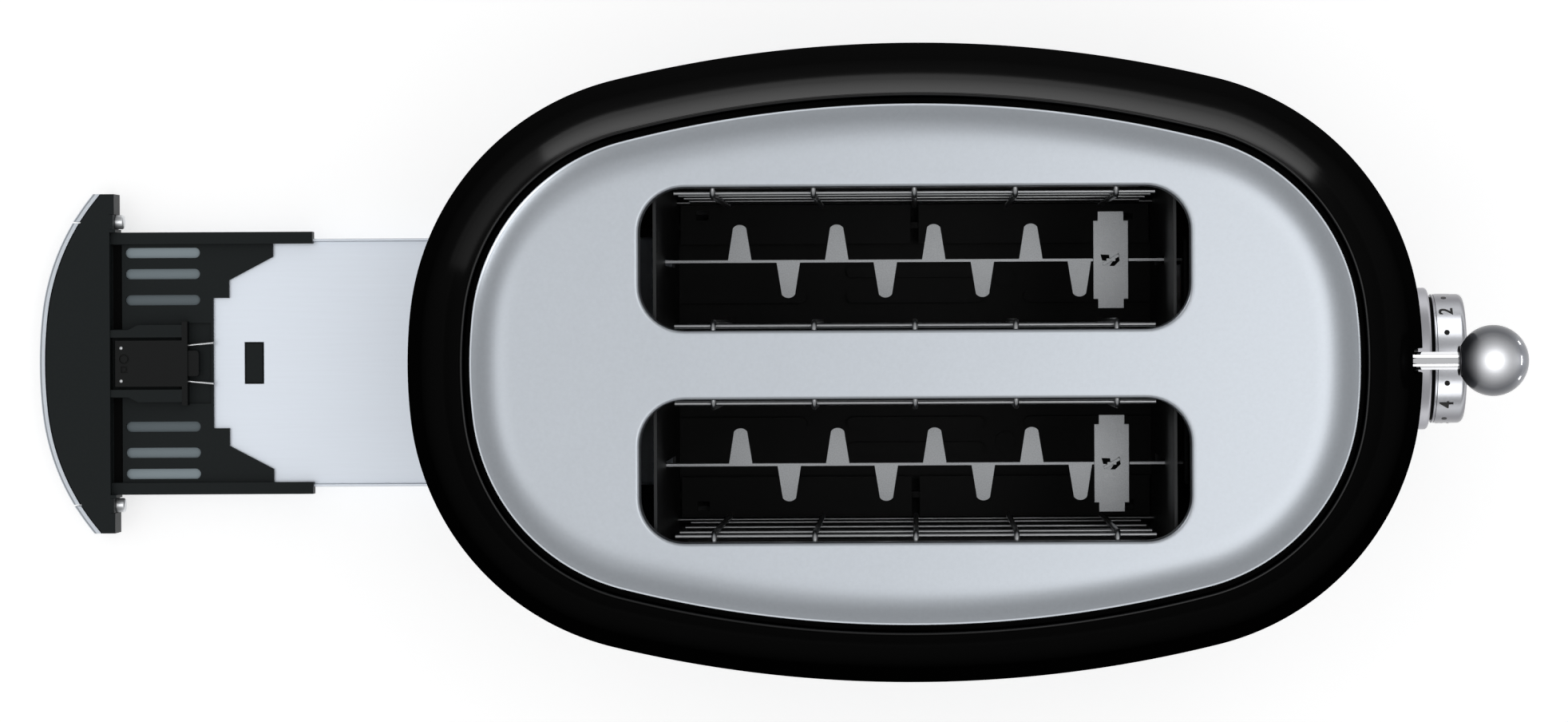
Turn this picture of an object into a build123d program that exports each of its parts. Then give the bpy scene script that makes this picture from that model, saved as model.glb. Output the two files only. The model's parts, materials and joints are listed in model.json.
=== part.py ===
from build123d import *
from math import asin, atan2, degrees, hypot, sin, sqrt
import os

# A two-slice toaster with an oval, bulging body. The lever and the browning dial are at the
# front, +X. The crumb tray draws out at the rear, -X, and is modelled drawn out. Millimetres, +Z up.

# Body outline, seen from above: at its widest, and at the rim round the top plate. Its end and side
# arcs are multiples of the radii that an ellipse has there, its corner arcs of the half width
body_length = 310.0
body_width = 196.0
body_arc_ratios = (2.437, 1.5856, 0.8378)
rim_end_inset = 23.05
rim_side_inset = 19.9
rim_arc_ratios = (2.8987, 1.5565, 0.7746)
rim_length = body_length - 2 * rim_end_inset
rim_width = body_width - 2 * rim_side_inset

# Body outline, seen from the side: three tangent arcs from foot to rim
shell_foot = 20.0
widest_height = 82.0
rim_height = 186.0
lower_arc = 230.0
upper_arc = 600.0
shoulder_arc = 40.0
shell_wall = 1.2
ledge_depth = 5.0
ledge_width = 5.5

# Top plate and its two bread slots
plate_gap = 2.3
plate_wall = 0.8
plate_rise = 10.0
plate_height = rim_height + plate_rise
plate_fall = 5.5
plate_shoulder = 15.0
slot_length = 159.9
slot_width = 41.4
slot_corner = 13.0
slot_pitch = 61.6
slot_collar = 8.0

# Base: chrome plinth ring, plastic base plate, feet
base_bottom = 5.0
ring_top = 19.5
ring_inset = 0.8
ring_wall = 1.5
seat_inset = 0.6
floor_thick = 2.5
base_wall = 2.0
base_wall_top = 24.0
foot_radius = 9.0
foot_stem_radius = 2.9
foot_stem_length = 4.0
foot_chamfer = 1.0
foot_x = body_length / 2 - 59.0
foot_y = body_width / 2 - 46.0
vent_length = 26.0
vent_width = 3.2
vent_pitch = 7.0
vent_count = 7
vent_y = body_width / 2 - 34.5
base_screw_radius = 1.5
base_screw_head = 1.8

# Inner frames, heaters and reflectors
frame_x = slot_length / 2 - 3.95
frame_wall = 1.0
heater_offset = 24.0
frame_margin = 7.2
frame_width = slot_pitch + 2 * (heater_offset + frame_margin)
frame_top_width = frame_width - 20.0
frame_bottom = 22.0
frame_step = rim_height - 14.0
frame_top = rim_height - 2.0
frame_leg = 15.0
frame_foot_length = 12.0
frame_tab_width = 15.0
screw_x = frame_x - frame_foot_length / 2
screw_y = (frame_width - frame_leg) / 2
board_wall = 0.8
board_bottom = 40.0
board_top = frame_step
board_tab = 15.0
board_tab_pitch = 80.0
ribbon_width = 1.6
ribbon_thick = 0.3
ribbon_count = 10
ribbon_margin = 6.0
reflector_wall = 0.6
reflector_y = frame_width / 2 - 1.5
reflector_bottom = 30.0
reflector_top = frame_step - 2.0
reflector_groove = 6.0

# Bread guides: a hinged wire cage on each side of a slot
wire_radius = 0.8
cage_offset = 18.4
cage_rail_offset = 19.6
cage_pivot = 36.0
cage_top = plate_height - 13.0
cage_length = 141.0
cage_wires = 5
cage_wire_pitch = 29.5
cage_hook = 4.6
cage_rail_heights = (62.0, 104.0, 146.0, cage_top - 5.0)
pivot_half = frame_x + 3.0
pivot_clearance = 0.1

# Bread racks: a blade on edge with bent tabs, and a cross plate near the front
rack_height = 122.0
rack_depth = 10.0
rack_wall = 0.8
rack_rear = frame_x + 3.0
rack_front = frame_x + 5.0
rack_clearance = 0.8
tab_count = 4
tab_pitch = 29.4
tab_first = -53.0
tab_root = 7.1
tab_tip = 4.0
tab_reach = 11.1
cross_x = 59.4
cross_width = 10.6
cross_reach = 14.7
cross_notch = 1.4
cross_wall = 0.8
lock_length = 5.4
lock_twist = 30.0
lock_height = 1.2
lift_travel = 57.0

# Carriage, guide rod, lever, spring and holding magnet
rod_x = frame_x + 16.0
rod_radius = 2.5
rod_clearance = 0.1
rod_bracket_width = 16.0
rod_bracket_reach = 22.0
rod_low = 30.0
rod_high = frame_step + 4.0
bush_radius = 6.0
arm_wall = 1.2
arm_low = rack_height - 10.0
arm_high = rack_height + 8.0
arm_half_width = 37.0
side_arm = 22.0
side_arm_x = frame_x + 12.0
side_arm_size = 16.0
lever_height = rim_height - 30.0
lever_radius = 2.65
strap_x = rod_x + 7.0
strap_wall = 2.0
strap_width = 12.0
ball_radius = 10.6
ball_x = body_length / 2 + 16.7
knob_bore_depth = 6.0
collar_radius = 4.5
collar_length = 0.8
lever_slot_width = 7.5
lever_slot_play = 1.3
lever_slot_over = 9.4
lever_slot_corner = 1.5
spring_radius = 4.0
spring_wire = 0.6
spring_pitch = 2.6
magnet_low = 32.0
magnet_width = 16.0
magnet_x = frame_x + 14.0
magnet_depth = 12.0
magnet_leg = 4.0
magnet_air = 0.3
armature_thick = 2.5

# Browning dial, push buttons and the board that they work
dial_height = 66.0
dial_radius = 20.15
dial_rear = body_length / 2 + 6.0
dial_front = dial_rear + 10.0
dial_edge = 1.8
dial_wall = 2.0
bezel_radius = 22.15
bezel_bore = 17.5
bezel_edge = 1.0
bezel_rear = body_length / 2 - 8.0
bezel_front = dial_rear - 1.1
shaft_radius = 3.0
shaft_clearance = 0.05
hub_radius = 6.0
board_x = body_length / 2 - 43.0
control_board_wall = 1.6
control_board_width = 90.0
control_board_top = 92.0
control_board_seat = 0.2
post_size = 8.0
relay_places = ((28.0, 62.0), (-28.0, 58.0))
relay_length = 14.0
relay_height = 9.0
relay_depth = 6.0
socket_floor = 1.0
potentiometer_size = 17.0
potentiometer_depth = 8.0
button_height = 34.0
button_pitch = 17.0
button_radius = 4.5
button_proud = 2.6
button_travel = 1.5
button_clearance = 0.3
button_edge = 0.8
button_stop = 0.5
stem_overlap = 1.0
button_stem_radius = 1.6
button_guide_x = body_length / 2 - 24.0
button_guide_depth = 6.0
guide_rise = 6.0
switch_size = 6.0
switch_depth = 4.0

# Mains inlet: cord gland and terminal block
gland_x = 91.0 - body_length / 2
gland_y = 26.0 - body_width / 2
gland_bore = 3.6
gland_radius = 5.2
gland_flange = 6.6
gland_flange_thick = 1.6
gland_length = 12.0
terminal_length = 26.0
terminal_width = 12.0
terminal_height = 14.0
terminal_bore = 1.8
terminal_screw_gap = 19.0
terminal_shelf_gap = 0.5

# Crumb tray. All its x values are where it stands in the photo, drawn out
tray_width = 109.0
tray_gap = 0.3
tray_bottom = 5.6
tray_top = 19.3
trim_wall = 2.2
front_depth = 22.7
lug_depth = 1.5
lug_width = 6.5
carrier_rail_outer = 42.2
carrier_rail_inner = 38.4
carrier_rail_low = 9.4
carrier_rail_high = 16.0
carrier_plate_top = 13.5
tongue_half_width = 8.0
tongue_bottom = 9.0
front_wall = 2.0
tray_rail_end = -193.9
channel_width = 3.2
channel_depth = 1.2
screw_boss = 1.1
screw_level = 12.5
screw_length = 8.3
gusset_x = (-226.2, -221.1, -206.9)
gusset_y = (21.0, 26.7, 34.2)
vent_slot_length = 24.1
vent_slot_width = 3.3
vent_slot_x = -242.4
vent_slot_y = (20.4, 28.8, 35.6)
sheet_half_width = 39.9
sheet_bottom = 10.6
sheet_wall = 0.8
sheet_flange = 3.2
sheet_start = -256.5
sheet_end = -76.5
window_x = -213.2
window_length = 6.1
window_width = 13.4
case_rear = -257.1
case_front = -235.7
case_half_width = 7.4
case_arm_inner = 8.4
case_arm_half_width = 10.8
case_bulge_half_width = 12.4
case_bulge_start = -252.9
case_bulge_full = -249.8
case_top = 18.6
flange_wall = 1.8
flange_half_width = 13.5
pocket_front = -227.0
pocket_half_width = 13.0
pocket_depth = 1.0
catch_half_width = 4.2
catch_length = 3.6
catch_edge = 1.0
case_mark_inset = 2.9
case_mark_depth = 0.6
case_mark_line = 0.5
case_ring_y = 1.5
case_ring_radius = 1.6
case_square_y = -1.9
case_square = 2.1
catch_travel = 2.5
catch_height = 3.0
catch_channel = 15.0
prong_y = 5.9
prong_radius = 0.55
prong_end = -225.4
prong_height = 15.6
prong_seat = 12.0
screw_gap = 0.1
screw_web = 1.9
screw_head_radius = 2.3
screw_head_height = 2.9
screw_head_edge = 0.8
screw_shank_radius = 1.3
tray_clearance = 0.1
guide_wall = 2.0
guide_start = 38.0 - body_length / 2
guide_end = body_length / 2 - 55.0
rib_y = 30.0
rib_wall = 2.0
rib_length = 39.0
bead_width = 4.0
bead_length = 44.0
bead_pitch = 57.0
bead_y = (20.4, 28.6)
boss_x = 29.0
boss_y = 26.5
boss_radius = 3.2
boss_rise = 1.5
shelf_inner = 37.4
shelf_outer = 52.0
shelf_wall = 1.5
shelf_gap = 2.6
shelf_play = 0.3
shelf_hole_inset = 7.0
shelf_hole_y = 46.7
shelf_hole_length = 3.9
shelf_hole_width = 3.1
sheet_clearance = 0.05
strike_gap = 0.2
strike_wall = 1.5
strike_half_width = 4.0
strike_low = 15.2
strike_high = 24.0
strike_lift = 9.0

# The whole footprint, tray and lever included, is centred on the origin
tray_reach = 281.4
body_x = (tray_reach - ball_x - ball_radius) / 2


def level(height):
    """A level plane, its origin on the body's centre line."""
    return Plane(origin=(body_x, 0, height))


def facing_front(x):
    """An upright plane across the body that faces the front; sketches on it use y and z."""
    return Plane(origin=(body_x + x, 0, 0), x_dir=(0, 1, 0), z_dir=(1, 0, 0))


def facing_right(y):
    """An upright plane along the body that faces -Y; sketches on it use x and z."""
    return Plane(origin=(body_x, y, 0), x_dir=(1, 0, 0), z_dir=(0, -1, 0))


def circles_meet(first, first_radius, second, second_radius):
    """The point at the given distances from two points, on the left of the line between them."""
    gap = hypot(second[0] - first[0], second[1] - first[1])
    along = (first_radius**2 - second_radius**2 + gap**2) / (2 * gap)
    across = sqrt(max(first_radius**2 - along**2, 0))
    ux = (second[0] - first[0]) / gap
    uy = (second[1] - first[1]) / gap
    return first[0] + along * ux - across * uy, first[1] + along * uy + across * ux


def arc_radii(length, width, ratios):
    """End, side and corner radii of an oval of this length and width."""
    end, side, corner = ratios
    return end * width**2 / (2 * length), side * length**2 / (2 * width), corner * width / 2


body_radii = arc_radii(body_length, body_width, body_arc_ratios)
rim_radii = arc_radii(rim_length, rim_width, rim_arc_ratios)


def outline(share, inset=0.0):
    """The body's oval of eight tangent arcs: share 0 is the widest level and 1 the rim."""
    half_length = (body_length + share * (rim_length - body_length)) / 2 - inset
    half_width = (body_width + share * (rim_width - body_width)) / 2 - inset
    end_radius, side_radius, corner_radius = (
        widest + share * (rim - widest) - inset for widest, rim in zip(body_radii, rim_radii)
    )
    end = (half_length - end_radius, 0)
    side = (0, half_width - side_radius)
    corner = circles_meet(end, end_radius - corner_radius, side, side_radius - corner_radius)
    low = degrees(atan2(corner[1] - end[1], corner[0] - end[0]))
    high = degrees(atan2(corner[1] - side[1], corner[0] - side[0]))
    with BuildSketch() as oval:
        with BuildLine():
            CenterArc(end, end_radius, -low, 2 * low)
            CenterArc(corner, corner_radius, low, high - low)
            CenterArc(side, side_radius, high, 180 - 2 * high)
            CenterArc((-corner[0], corner[1]), corner_radius, 180 - high, high - low)
            CenterArc((-end[0], 0), end_radius, 180 - low, 2 * low)
            CenterArc((-corner[0], -corner[1]), corner_radius, 180 + low, high - low)
            CenterArc((0, -side[1]), side_radius, 180 + high, 180 - 2 * high)
            CenterArc((corner[0], -corner[1]), corner_radius, -high, high - low)
        make_face()
    return oval.sketch


# Side profile of the body. Insets are measured inwards from the widest level, at the ends
shoulder_centre = circles_meet(
    (upper_arc, widest_height), upper_arc - shoulder_arc, (rim_end_inset, rim_height), shoulder_arc
)
tangent_rise = (shoulder_centre[1] - widest_height) / (upper_arc - shoulder_arc)
tangent_height = widest_height + upper_arc * tangent_rise


def profile_inset(height, wall=0.0):
    """How far the profile stands in from the widest level, for the outer face or one wall in."""
    rise = height - widest_height
    if height < widest_height:
        return lower_arc - sqrt((lower_arc - wall) ** 2 - rise**2)
    if height < tangent_height - wall * tangent_rise:
        return upper_arc - sqrt((upper_arc - wall) ** 2 - rise**2)
    return shoulder_centre[0] - sqrt(
        (shoulder_arc - wall) ** 2 - (height - shoulder_centre[1]) ** 2
    )


def profile_levels(bottom, wall=0.0):
    """Heights of the loft's sections, closer together round the shoulder."""
    start = asin((tangent_height - shoulder_centre[1]) / shoulder_arc)
    reach = shoulder_centre[0] - rim_end_inset
    stop = atan2(sqrt((shoulder_arc - wall) ** 2 - reach**2), reach)
    low = [bottom + (widest_height - bottom) * step / 3 for step in range(3)]
    middle = [widest_height + (tangent_height - widest_height) * step / 3 for step in range(3)]
    turn = [start + (stop - start) * step / 5 for step in range(6)]
    return low + middle + [shoulder_centre[1] + (shoulder_arc - wall) * sin(a) for a in turn]


def profile_share(height):
    """The outline's share at a height of the outer face."""
    return profile_inset(height) / rim_end_inset


foot_share = profile_share(shell_foot)
ledge_height = rim_height - ledge_depth
slot_centres = (slot_pitch / 2, -slot_pitch / 2)

front_half = tray_width / 2
tray_screw_y = front_half - lug_width - screw_gap - screw_head_radius
screw_inner = tray_screw_y - screw_head_radius - screw_gap
tray_out = tray_reach - (body_length / 2 - profile_inset(shell_foot) - ring_inset)
wall_inset = ring_inset + ring_wall
floor_top = base_bottom + floor_thick
well_front = -tray_reach + front_depth + lug_depth + tray_out + 1
shelf_bottom = carrier_rail_high + shelf_play
shelf_half_length = frame_x - frame_wall / 2 - shelf_play
terminal_x = terminal_screw_gap + terminal_length / 2 - screw_x
terminal_y = -shelf_outer - terminal_shelf_gap - terminal_width / 2

# Outer shell: painted steel, open below. Its rim turns down to a ledge that carries the top plate
with BuildPart() as outer_shell:
    for height in profile_levels(shell_foot):
        with BuildSketch(level(height)):
            add(outline(profile_share(height)))
    loft()
    for height in profile_levels(shell_foot, shell_wall):
        outer = profile_inset(height)
        with BuildSketch(level(height)):
            add(outline(outer / rim_end_inset, profile_inset(height, shell_wall) - outer))
    loft(mode=Mode.SUBTRACT)
    with BuildSketch(level(ledge_height - shell_wall)):
        add(outline(1, -shell_wall))
    extrude(amount=ledge_depth + shell_wall)
    with BuildSketch(level(ledge_height)):
        add(outline(1))
    extrude(amount=2 * ledge_depth, mode=Mode.SUBTRACT)
    with BuildSketch(level(ledge_height - 2 * shoulder_arc / 3)):
        add(outline(1, ledge_width))
    extrude(amount=shoulder_arc, mode=Mode.SUBTRACT)
    with BuildSketch(facing_front(0)):
        with Locations((0, dial_height)):
            Circle(bezel_radius)
        with Locations((0, lever_height + (lever_slot_over - lift_travel) / 2)):
            RectangleRounded(
                lever_slot_width,
                lift_travel + lever_slot_over + 2 * (lever_radius + lever_slot_play),
                lever_slot_corner,
            )
        with Locations((0, button_height)):
            with GridLocations(button_pitch, 0, 3, 1):
                Circle(button_radius + button_clearance)
    extrude(amount=body_length, mode=Mode.SUBTRACT)

# Top plate: satin steel, domed down to its edge, with a collar turned down round each slot
with BuildPart() as top_plate:
    for wall, mode in ((0, Mode.ADD), (plate_wall, Mode.SUBTRACT)):
        with BuildSketch(level(ledge_height)):
            add(outline(1, plate_gap + wall))
        extrude(amount=plate_height - plate_fall - wall - ledge_height, mode=mode)
        for share in (1, 0.75, 0.5, 0.25, 0):
            drop = plate_fall * share**2 + wall
            with BuildSketch(level(plate_height - drop)):
                add(outline(1, plate_gap + wall + plate_shoulder * (1 - share)))
        loft(mode=mode)
    with BuildSketch(level(plate_height - slot_collar)):
        with Locations(*[(0, y) for y in slot_centres]):
            RectangleRounded(
                slot_length + 2 * plate_wall, slot_width + 2 * plate_wall, slot_corner + plate_wall
            )
    extrude(amount=slot_collar - plate_wall / 2)
    with BuildSketch(level(plate_height - 2 * slot_collar)):
        with Locations(*[(0, y) for y in slot_centres]):
            RectangleRounded(slot_length, slot_width, slot_corner)
    extrude(amount=3 * slot_collar, mode=Mode.SUBTRACT)

# Base ring: chrome, under the shell's foot, open at the rear for the tray front
with BuildPart() as base_ring:
    with BuildSketch(level(base_bottom + 1)):
        add(outline(foot_share, ring_inset))
        add(outline(foot_share, wall_inset), mode=Mode.SUBTRACT)
        with Locations((-body_length / 2, 0)):
            Rectangle(body_length / 2, 2 * (front_half + tray_gap), mode=Mode.SUBTRACT)
    extrude(amount=ring_top - base_bottom - 1)

# Base plate: floor, wall, the flange that the shell stands on, posts for the control board, and the
# tray's channel: guides, ribs, beads and bosses on the floor, and a shelf over each rail
with BuildPart() as base_plate:
    with BuildSketch(level(base_bottom)):
        add(outline(foot_share, wall_inset))
    extrude(amount=base_wall_top - base_bottom)
    with BuildSketch(level(ring_top)):
        add(outline(foot_share, seat_inset))
    extrude(amount=shell_foot - ring_top)
    with BuildSketch(level(floor_top)):
        add(outline(foot_share, wall_inset + base_wall))
    extrude(amount=base_wall_top, mode=Mode.SUBTRACT)
    with BuildSketch(level(0)):
        with Locations((well_front - body_length / 2, 0)):
            Rectangle(body_length, 2 * (front_half + tray_gap))
    extrude(amount=ring_top, mode=Mode.SUBTRACT)
    with BuildSketch(level(floor_top)):
        with Locations(((guide_start + guide_end) / 2, 0)):
            with GridLocations(0, 2 * (carrier_rail_outer + tray_clearance) + guide_wall, 1, 2):
                Rectangle(guide_end - guide_start, guide_wall)
    extrude(amount=shelf_bottom - floor_top)
    with BuildSketch(level(shelf_bottom)):
        with GridLocations(0, shelf_outer + shelf_inner, 1, 2):
            Rectangle(2 * shelf_half_length, shelf_outer - shelf_inner)
        Rectangle(shelf_gap, 2 * shelf_outer, mode=Mode.SUBTRACT)
        with GridLocations(2 * (shelf_half_length - shelf_hole_inset), 2 * shelf_hole_y, 2, 2):
            Rectangle(shelf_hole_length, shelf_hole_width, mode=Mode.SUBTRACT)
    extrude(amount=shelf_wall)
    with BuildSketch(level(floor_top)):
        with Locations((guide_start + rib_length / 2, 0)):
            with GridLocations(0, 2 * rib_y, 1, 2):
                Rectangle(rib_length, rib_wall)
        with GridLocations(bead_pitch, 2 * bead_y[0], 3, 2):
            SlotOverall(bead_length, bead_width)
        with GridLocations(0, 2 * bead_y[1], 1, 2):
            SlotOverall(bead_length, bead_width)
    extrude(amount=sheet_bottom - sheet_clearance - floor_top)
    with BuildSketch(level(floor_top)):
        with Locations((boss_x, boss_y), (boss_x, -boss_y)):
            Circle(boss_radius)
    extrude(amount=boss_rise)
    with BuildSketch(level(floor_top)):
        with Locations((board_x, 0)):
            with GridLocations(0, control_board_width - post_size, 1, 2):
                Rectangle(post_size, post_size)
            Rectangle(
                control_board_wall + 2 * control_board_seat, control_board_width, mode=Mode.SUBTRACT
            )
    extrude(amount=2 * post_size)
    with BuildSketch(level(0)):
        with GridLocations(2 * foot_x, 2 * foot_y, 2, 2):
            Circle(foot_stem_radius)
        with GridLocations(2 * screw_x, 2 * screw_y, 2, 2):
            Circle(base_screw_radius)
        with Locations((gland_x, gland_y)):
            Circle(gland_radius)
        with GridLocations(vent_pitch, 2 * vent_y, vent_count, 2):
            SlotOverall(vent_length, vent_width, rotation=90)
    extrude(amount=floor_top + 1, mode=Mode.SUBTRACT)


def foot(x, y):
    """A rubber foot, its stem pressed up through the base plate."""
    with BuildPart() as piece:
        with BuildSketch(level(0)):
            with Locations((x, y)):
                Circle(foot_radius)
        extrude(amount=base_bottom)
        chamfer(piece.faces().sort_by(Axis.Z)[0].edges(), foot_chamfer)
        with BuildSketch(level(base_bottom)):
            with Locations((x, y)):
                Circle(foot_stem_radius)
        extrude(amount=foot_stem_length)
    return piece.part


feet = [foot(x, y) for x in (foot_x, -foot_x) for y in (foot_y, -foot_y)]

# Base screws: four, up through the floor into the feet of the frames
with BuildPart() as base_screws:
    with BuildSketch(level(base_bottom - base_screw_head)):
        with GridLocations(2 * screw_x, 2 * screw_y, 2, 2):
            Circle(1.9 * base_screw_radius)
    extrude(amount=base_screw_head)
    with BuildSketch(level(base_bottom)):
        with GridLocations(2 * screw_x, 2 * screw_y, 2, 2):
            Circle(base_screw_radius)
    extrude(amount=floor_thick + frame_wall + 2)

# Cord gland and terminal block for the mains lead
with BuildPart() as cord_gland:
    with BuildSketch(level(base_bottom - gland_flange_thick)):
        with Locations((gland_x, gland_y)):
            Circle(gland_flange)
    extrude(amount=gland_flange_thick)
    with BuildSketch(level(base_bottom)):
        with Locations((gland_x, gland_y)):
            Circle(gland_radius)
    extrude(amount=gland_length)
    with BuildSketch(level(0)):
        with Locations((gland_x, gland_y)):
            Circle(gland_bore)
    extrude(amount=2 * gland_length, mode=Mode.SUBTRACT)

with BuildPart() as terminal_block:
    with BuildSketch(level(floor_top)):
        with Locations((terminal_x, terminal_y)):
            Rectangle(terminal_length, terminal_width)
    extrude(amount=terminal_height)
    with BuildSketch(facing_right(terminal_y - terminal_width)):
        with Locations((terminal_x, floor_top + terminal_height / 2)):
            with GridLocations(terminal_length / 3, 0, 3, 1):
                Circle(terminal_bore)
    extrude(amount=-2 * terminal_width, mode=Mode.SUBTRACT)
    with BuildSketch(level(floor_top + terminal_height)):
        with Locations((terminal_x, terminal_y)):
            with GridLocations(terminal_length / 3, 0, 3, 1):
                Circle(terminal_bore)
    extrude(amount=-terminal_height / 3, mode=Mode.SUBTRACT)


def frame(side):
    """An end frame of the chamber; side is 1 at the front. Feet bend inwards, a tab bears the plate."""
    with BuildPart() as piece:
        with BuildSketch(facing_front(side * frame_x - frame_wall / 2)):
            with BuildLine():
                Polyline(
                    (frame_width / 2, floor_top),
                    (frame_width / 2, frame_step),
                    (frame_top_width / 2, frame_step),
                    (frame_top_width / 2, frame_top),
                    (frame_tab_width / 2, frame_top),
                    (frame_tab_width / 2, plate_height - plate_wall),
                    (0, plate_height - plate_wall),
                    (0, frame_bottom),
                    (frame_width / 2 - frame_leg, frame_bottom),
                    (frame_width / 2 - frame_leg, floor_top),
                    close=True,
                )
            make_face()
            mirror(about=Plane.YZ)
            with Locations(*[(y, rack_height - (lift_travel + rack_depth) / 2) for y in slot_centres]):
                Rectangle(
                    rack_wall + 2 * rack_clearance,
                    lift_travel + rack_depth + 2 * rack_clearance,
                    mode=Mode.SUBTRACT,
                )
            with Locations(*[(y, cage_pivot) for y in slot_centres]):
                with GridLocations(2 * cage_rail_offset, 0, 2, 1):
                    Circle(wire_radius + pivot_clearance, mode=Mode.SUBTRACT)
            with Locations(*[(y, (board_bottom + board_top) / 2) for y in slot_centres]):
                with GridLocations(2 * heater_offset, board_tab_pitch, 2, 2):
                    Rectangle(board_wall, board_tab, mode=Mode.SUBTRACT)
        extrude(amount=frame_wall)
        with BuildSketch(level(floor_top)):
            with Locations((side * (frame_x - (frame_foot_length - frame_wall) / 2), 0)):
                with GridLocations(0, frame_width - frame_leg, 1, 2):
                    Rectangle(frame_foot_length, frame_leg)
            with GridLocations(2 * screw_x, 2 * screw_y, 2, 2):
                Circle(base_screw_radius, mode=Mode.SUBTRACT)
        extrude(amount=frame_wall)
        if side > 0:
            for height in (rod_low - frame_wall, rod_high):
                with BuildSketch(level(height)):
                    with Locations((frame_x + rod_bracket_reach / 2, 0)):
                        Rectangle(rod_bracket_reach, rod_bracket_width)
                    with Locations((rod_x, 0)):
                        Circle(rod_radius, mode=Mode.SUBTRACT)
                extrude(amount=frame_wall)
    return piece.part


front_frame = frame(1)
rear_frame = frame(-1)
chamber_half = frame_x - frame_wall / 2


def reflector(side):
    """A bright sheet outside the outer heater, stiffened by two pressed grooves."""
    with BuildPart() as piece:
        with BuildSketch(facing_right(side * reflector_y + reflector_wall / 2)):
            with Locations((0, (reflector_bottom + reflector_top) / 2)):
                Rectangle(2 * chamber_half, reflector_top - reflector_bottom)
        extrude(amount=reflector_wall)
        with BuildSketch(facing_right(side * reflector_y + reflector_wall / 2)):
            with Locations((0, (reflector_bottom + reflector_top) / 2)):
                with GridLocations(0, (reflector_top - reflector_bottom) / 2, 1, 2):
                    SlotOverall(1.7 * chamber_half, reflector_groove)
        extrude(amount=reflector_wall / 2, mode=Mode.SUBTRACT)
    return piece.part


def heater_board(y):
    """A mica board between the frames, with two tabs through each."""
    with BuildPart() as piece:
        with BuildSketch(facing_right(y + board_wall / 2)):
            with Locations((0, (board_bottom + board_top) / 2)):
                Rectangle(2 * chamber_half, board_top - board_bottom)
                with GridLocations(0, board_tab_pitch, 1, 2):
                    Rectangle(2 * (frame_x + 1.5), board_tab)
        extrude(amount=board_wall)
    return piece.part


def heater_winding(y, towards):
    """A flat ribbon run to and fro on the face of the board that looks at its slot."""
    pitch = (board_top - board_bottom - 2 * ribbon_margin) / (ribbon_count - 1)
    reach = chamber_half - ribbon_margin
    face = y + towards * board_wall / 2
    with BuildPart() as piece:
        with BuildSketch(facing_right(max(face, face + towards * ribbon_thick))):
            for row in range(ribbon_count):
                height = board_bottom + ribbon_margin + row * pitch
                with Locations((0, height)):
                    Rectangle(2 * reach, ribbon_width)
                if row:
                    end = reach if row % 2 else -reach
                    with Locations((end, height - pitch / 2)):
                        Rectangle(ribbon_width, pitch + ribbon_width)
        extrude(amount=ribbon_thick)
    return piece.part


board_places = [(y, towards) for y in slot_centres for towards in (-1, 1)]
boards = [heater_board(y - towards * heater_offset) for y, towards in board_places]
windings = [heater_winding(y - towards * heater_offset, towards) for y, towards in board_places]


def cage(y, out):
    """A bread guide: upright wires hooked outwards at the top, welded to level wires."""
    near = y + out * cage_offset
    far = y + out * cage_rail_offset
    hook = cage_hook / 2
    turn = cage_top - hook
    with BuildPart() as piece:
        with BuildSketch(facing_front(-pivot_half)):
            with Locations((far, cage_pivot)):
                Circle(wire_radius)
        extrude(amount=2 * pivot_half)
        with BuildSketch(facing_front(-cage_length / 2)):
            with Locations(*[(far, height) for height in cage_rail_heights]):
                Circle(wire_radius)
        extrude(amount=cage_length)
        for step in range(cage_wires):
            x = body_x + (step - (cage_wires - 1) / 2) * cage_wire_pitch
            with BuildLine() as path:
                Line((x, near, cage_pivot - wire_radius), (x, near, turn))
                ThreePointArc(
                    (x, near, turn), (x, near + out * hook, turn + hook), (x, near + 2 * out * hook, turn)
                )
                Line((x, near + 2 * out * hook, turn), (x, near + 2 * out * hook, turn - hook))
            with BuildSketch(Plane(origin=(x, near, cage_pivot - wire_radius), z_dir=(0, 0, 1))):
                Circle(wire_radius)
            sweep(path=path.line)
    return piece.part


cages = [cage(y, out) for y in slot_centres for out in (1, -1)]


def rack(y):
    """A bread rack: a blade on edge, tabs bent to both sides, a twisted lock tab on top."""
    with BuildPart() as piece:
        with BuildSketch(facing_right(y + rack_wall / 2)):
            with Locations(((rack_front - rack_rear) / 2, rack_height - rack_depth / 2)):
                Rectangle(rack_front + rack_rear, rack_depth)
            with Locations((cross_x, rack_height + cross_wall / 2)):
                Rectangle(lock_length / 2, cross_wall)
        extrude(amount=rack_wall)
        for side, first in ((1, tab_first), (-1, tab_first + tab_pitch / 2)):
            with BuildSketch(level(rack_height - rack_wall)):
                for step in range(tab_count):
                    x = first + step * tab_pitch
                    with BuildLine():
                        Polyline(
                            (x - tab_tip / 2, y + side * (tab_reach - 1)),
                            (x - tab_root / 2, y + side * rack_wall / 2),
                            (x + tab_root / 2, y + side * rack_wall / 2),
                            (x + tab_tip / 2, y + side * (tab_reach - 1)),
                        )
                        ThreePointArc(
                            (x + tab_tip / 2, y + side * (tab_reach - 1)),
                            (x, y + side * tab_reach),
                            (x - tab_tip / 2, y + side * (tab_reach - 1)),
                        )
                    make_face()
            extrude(amount=rack_wall)
        with BuildSketch(level(rack_height + cross_wall)):
            with Locations((cross_x, y)):
                Rectangle(lock_length, rack_wall, rotation=lock_twist)
                Rectangle(lock_length / 2, rack_wall)
        extrude(amount=lock_height)
    return piece.part


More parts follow.
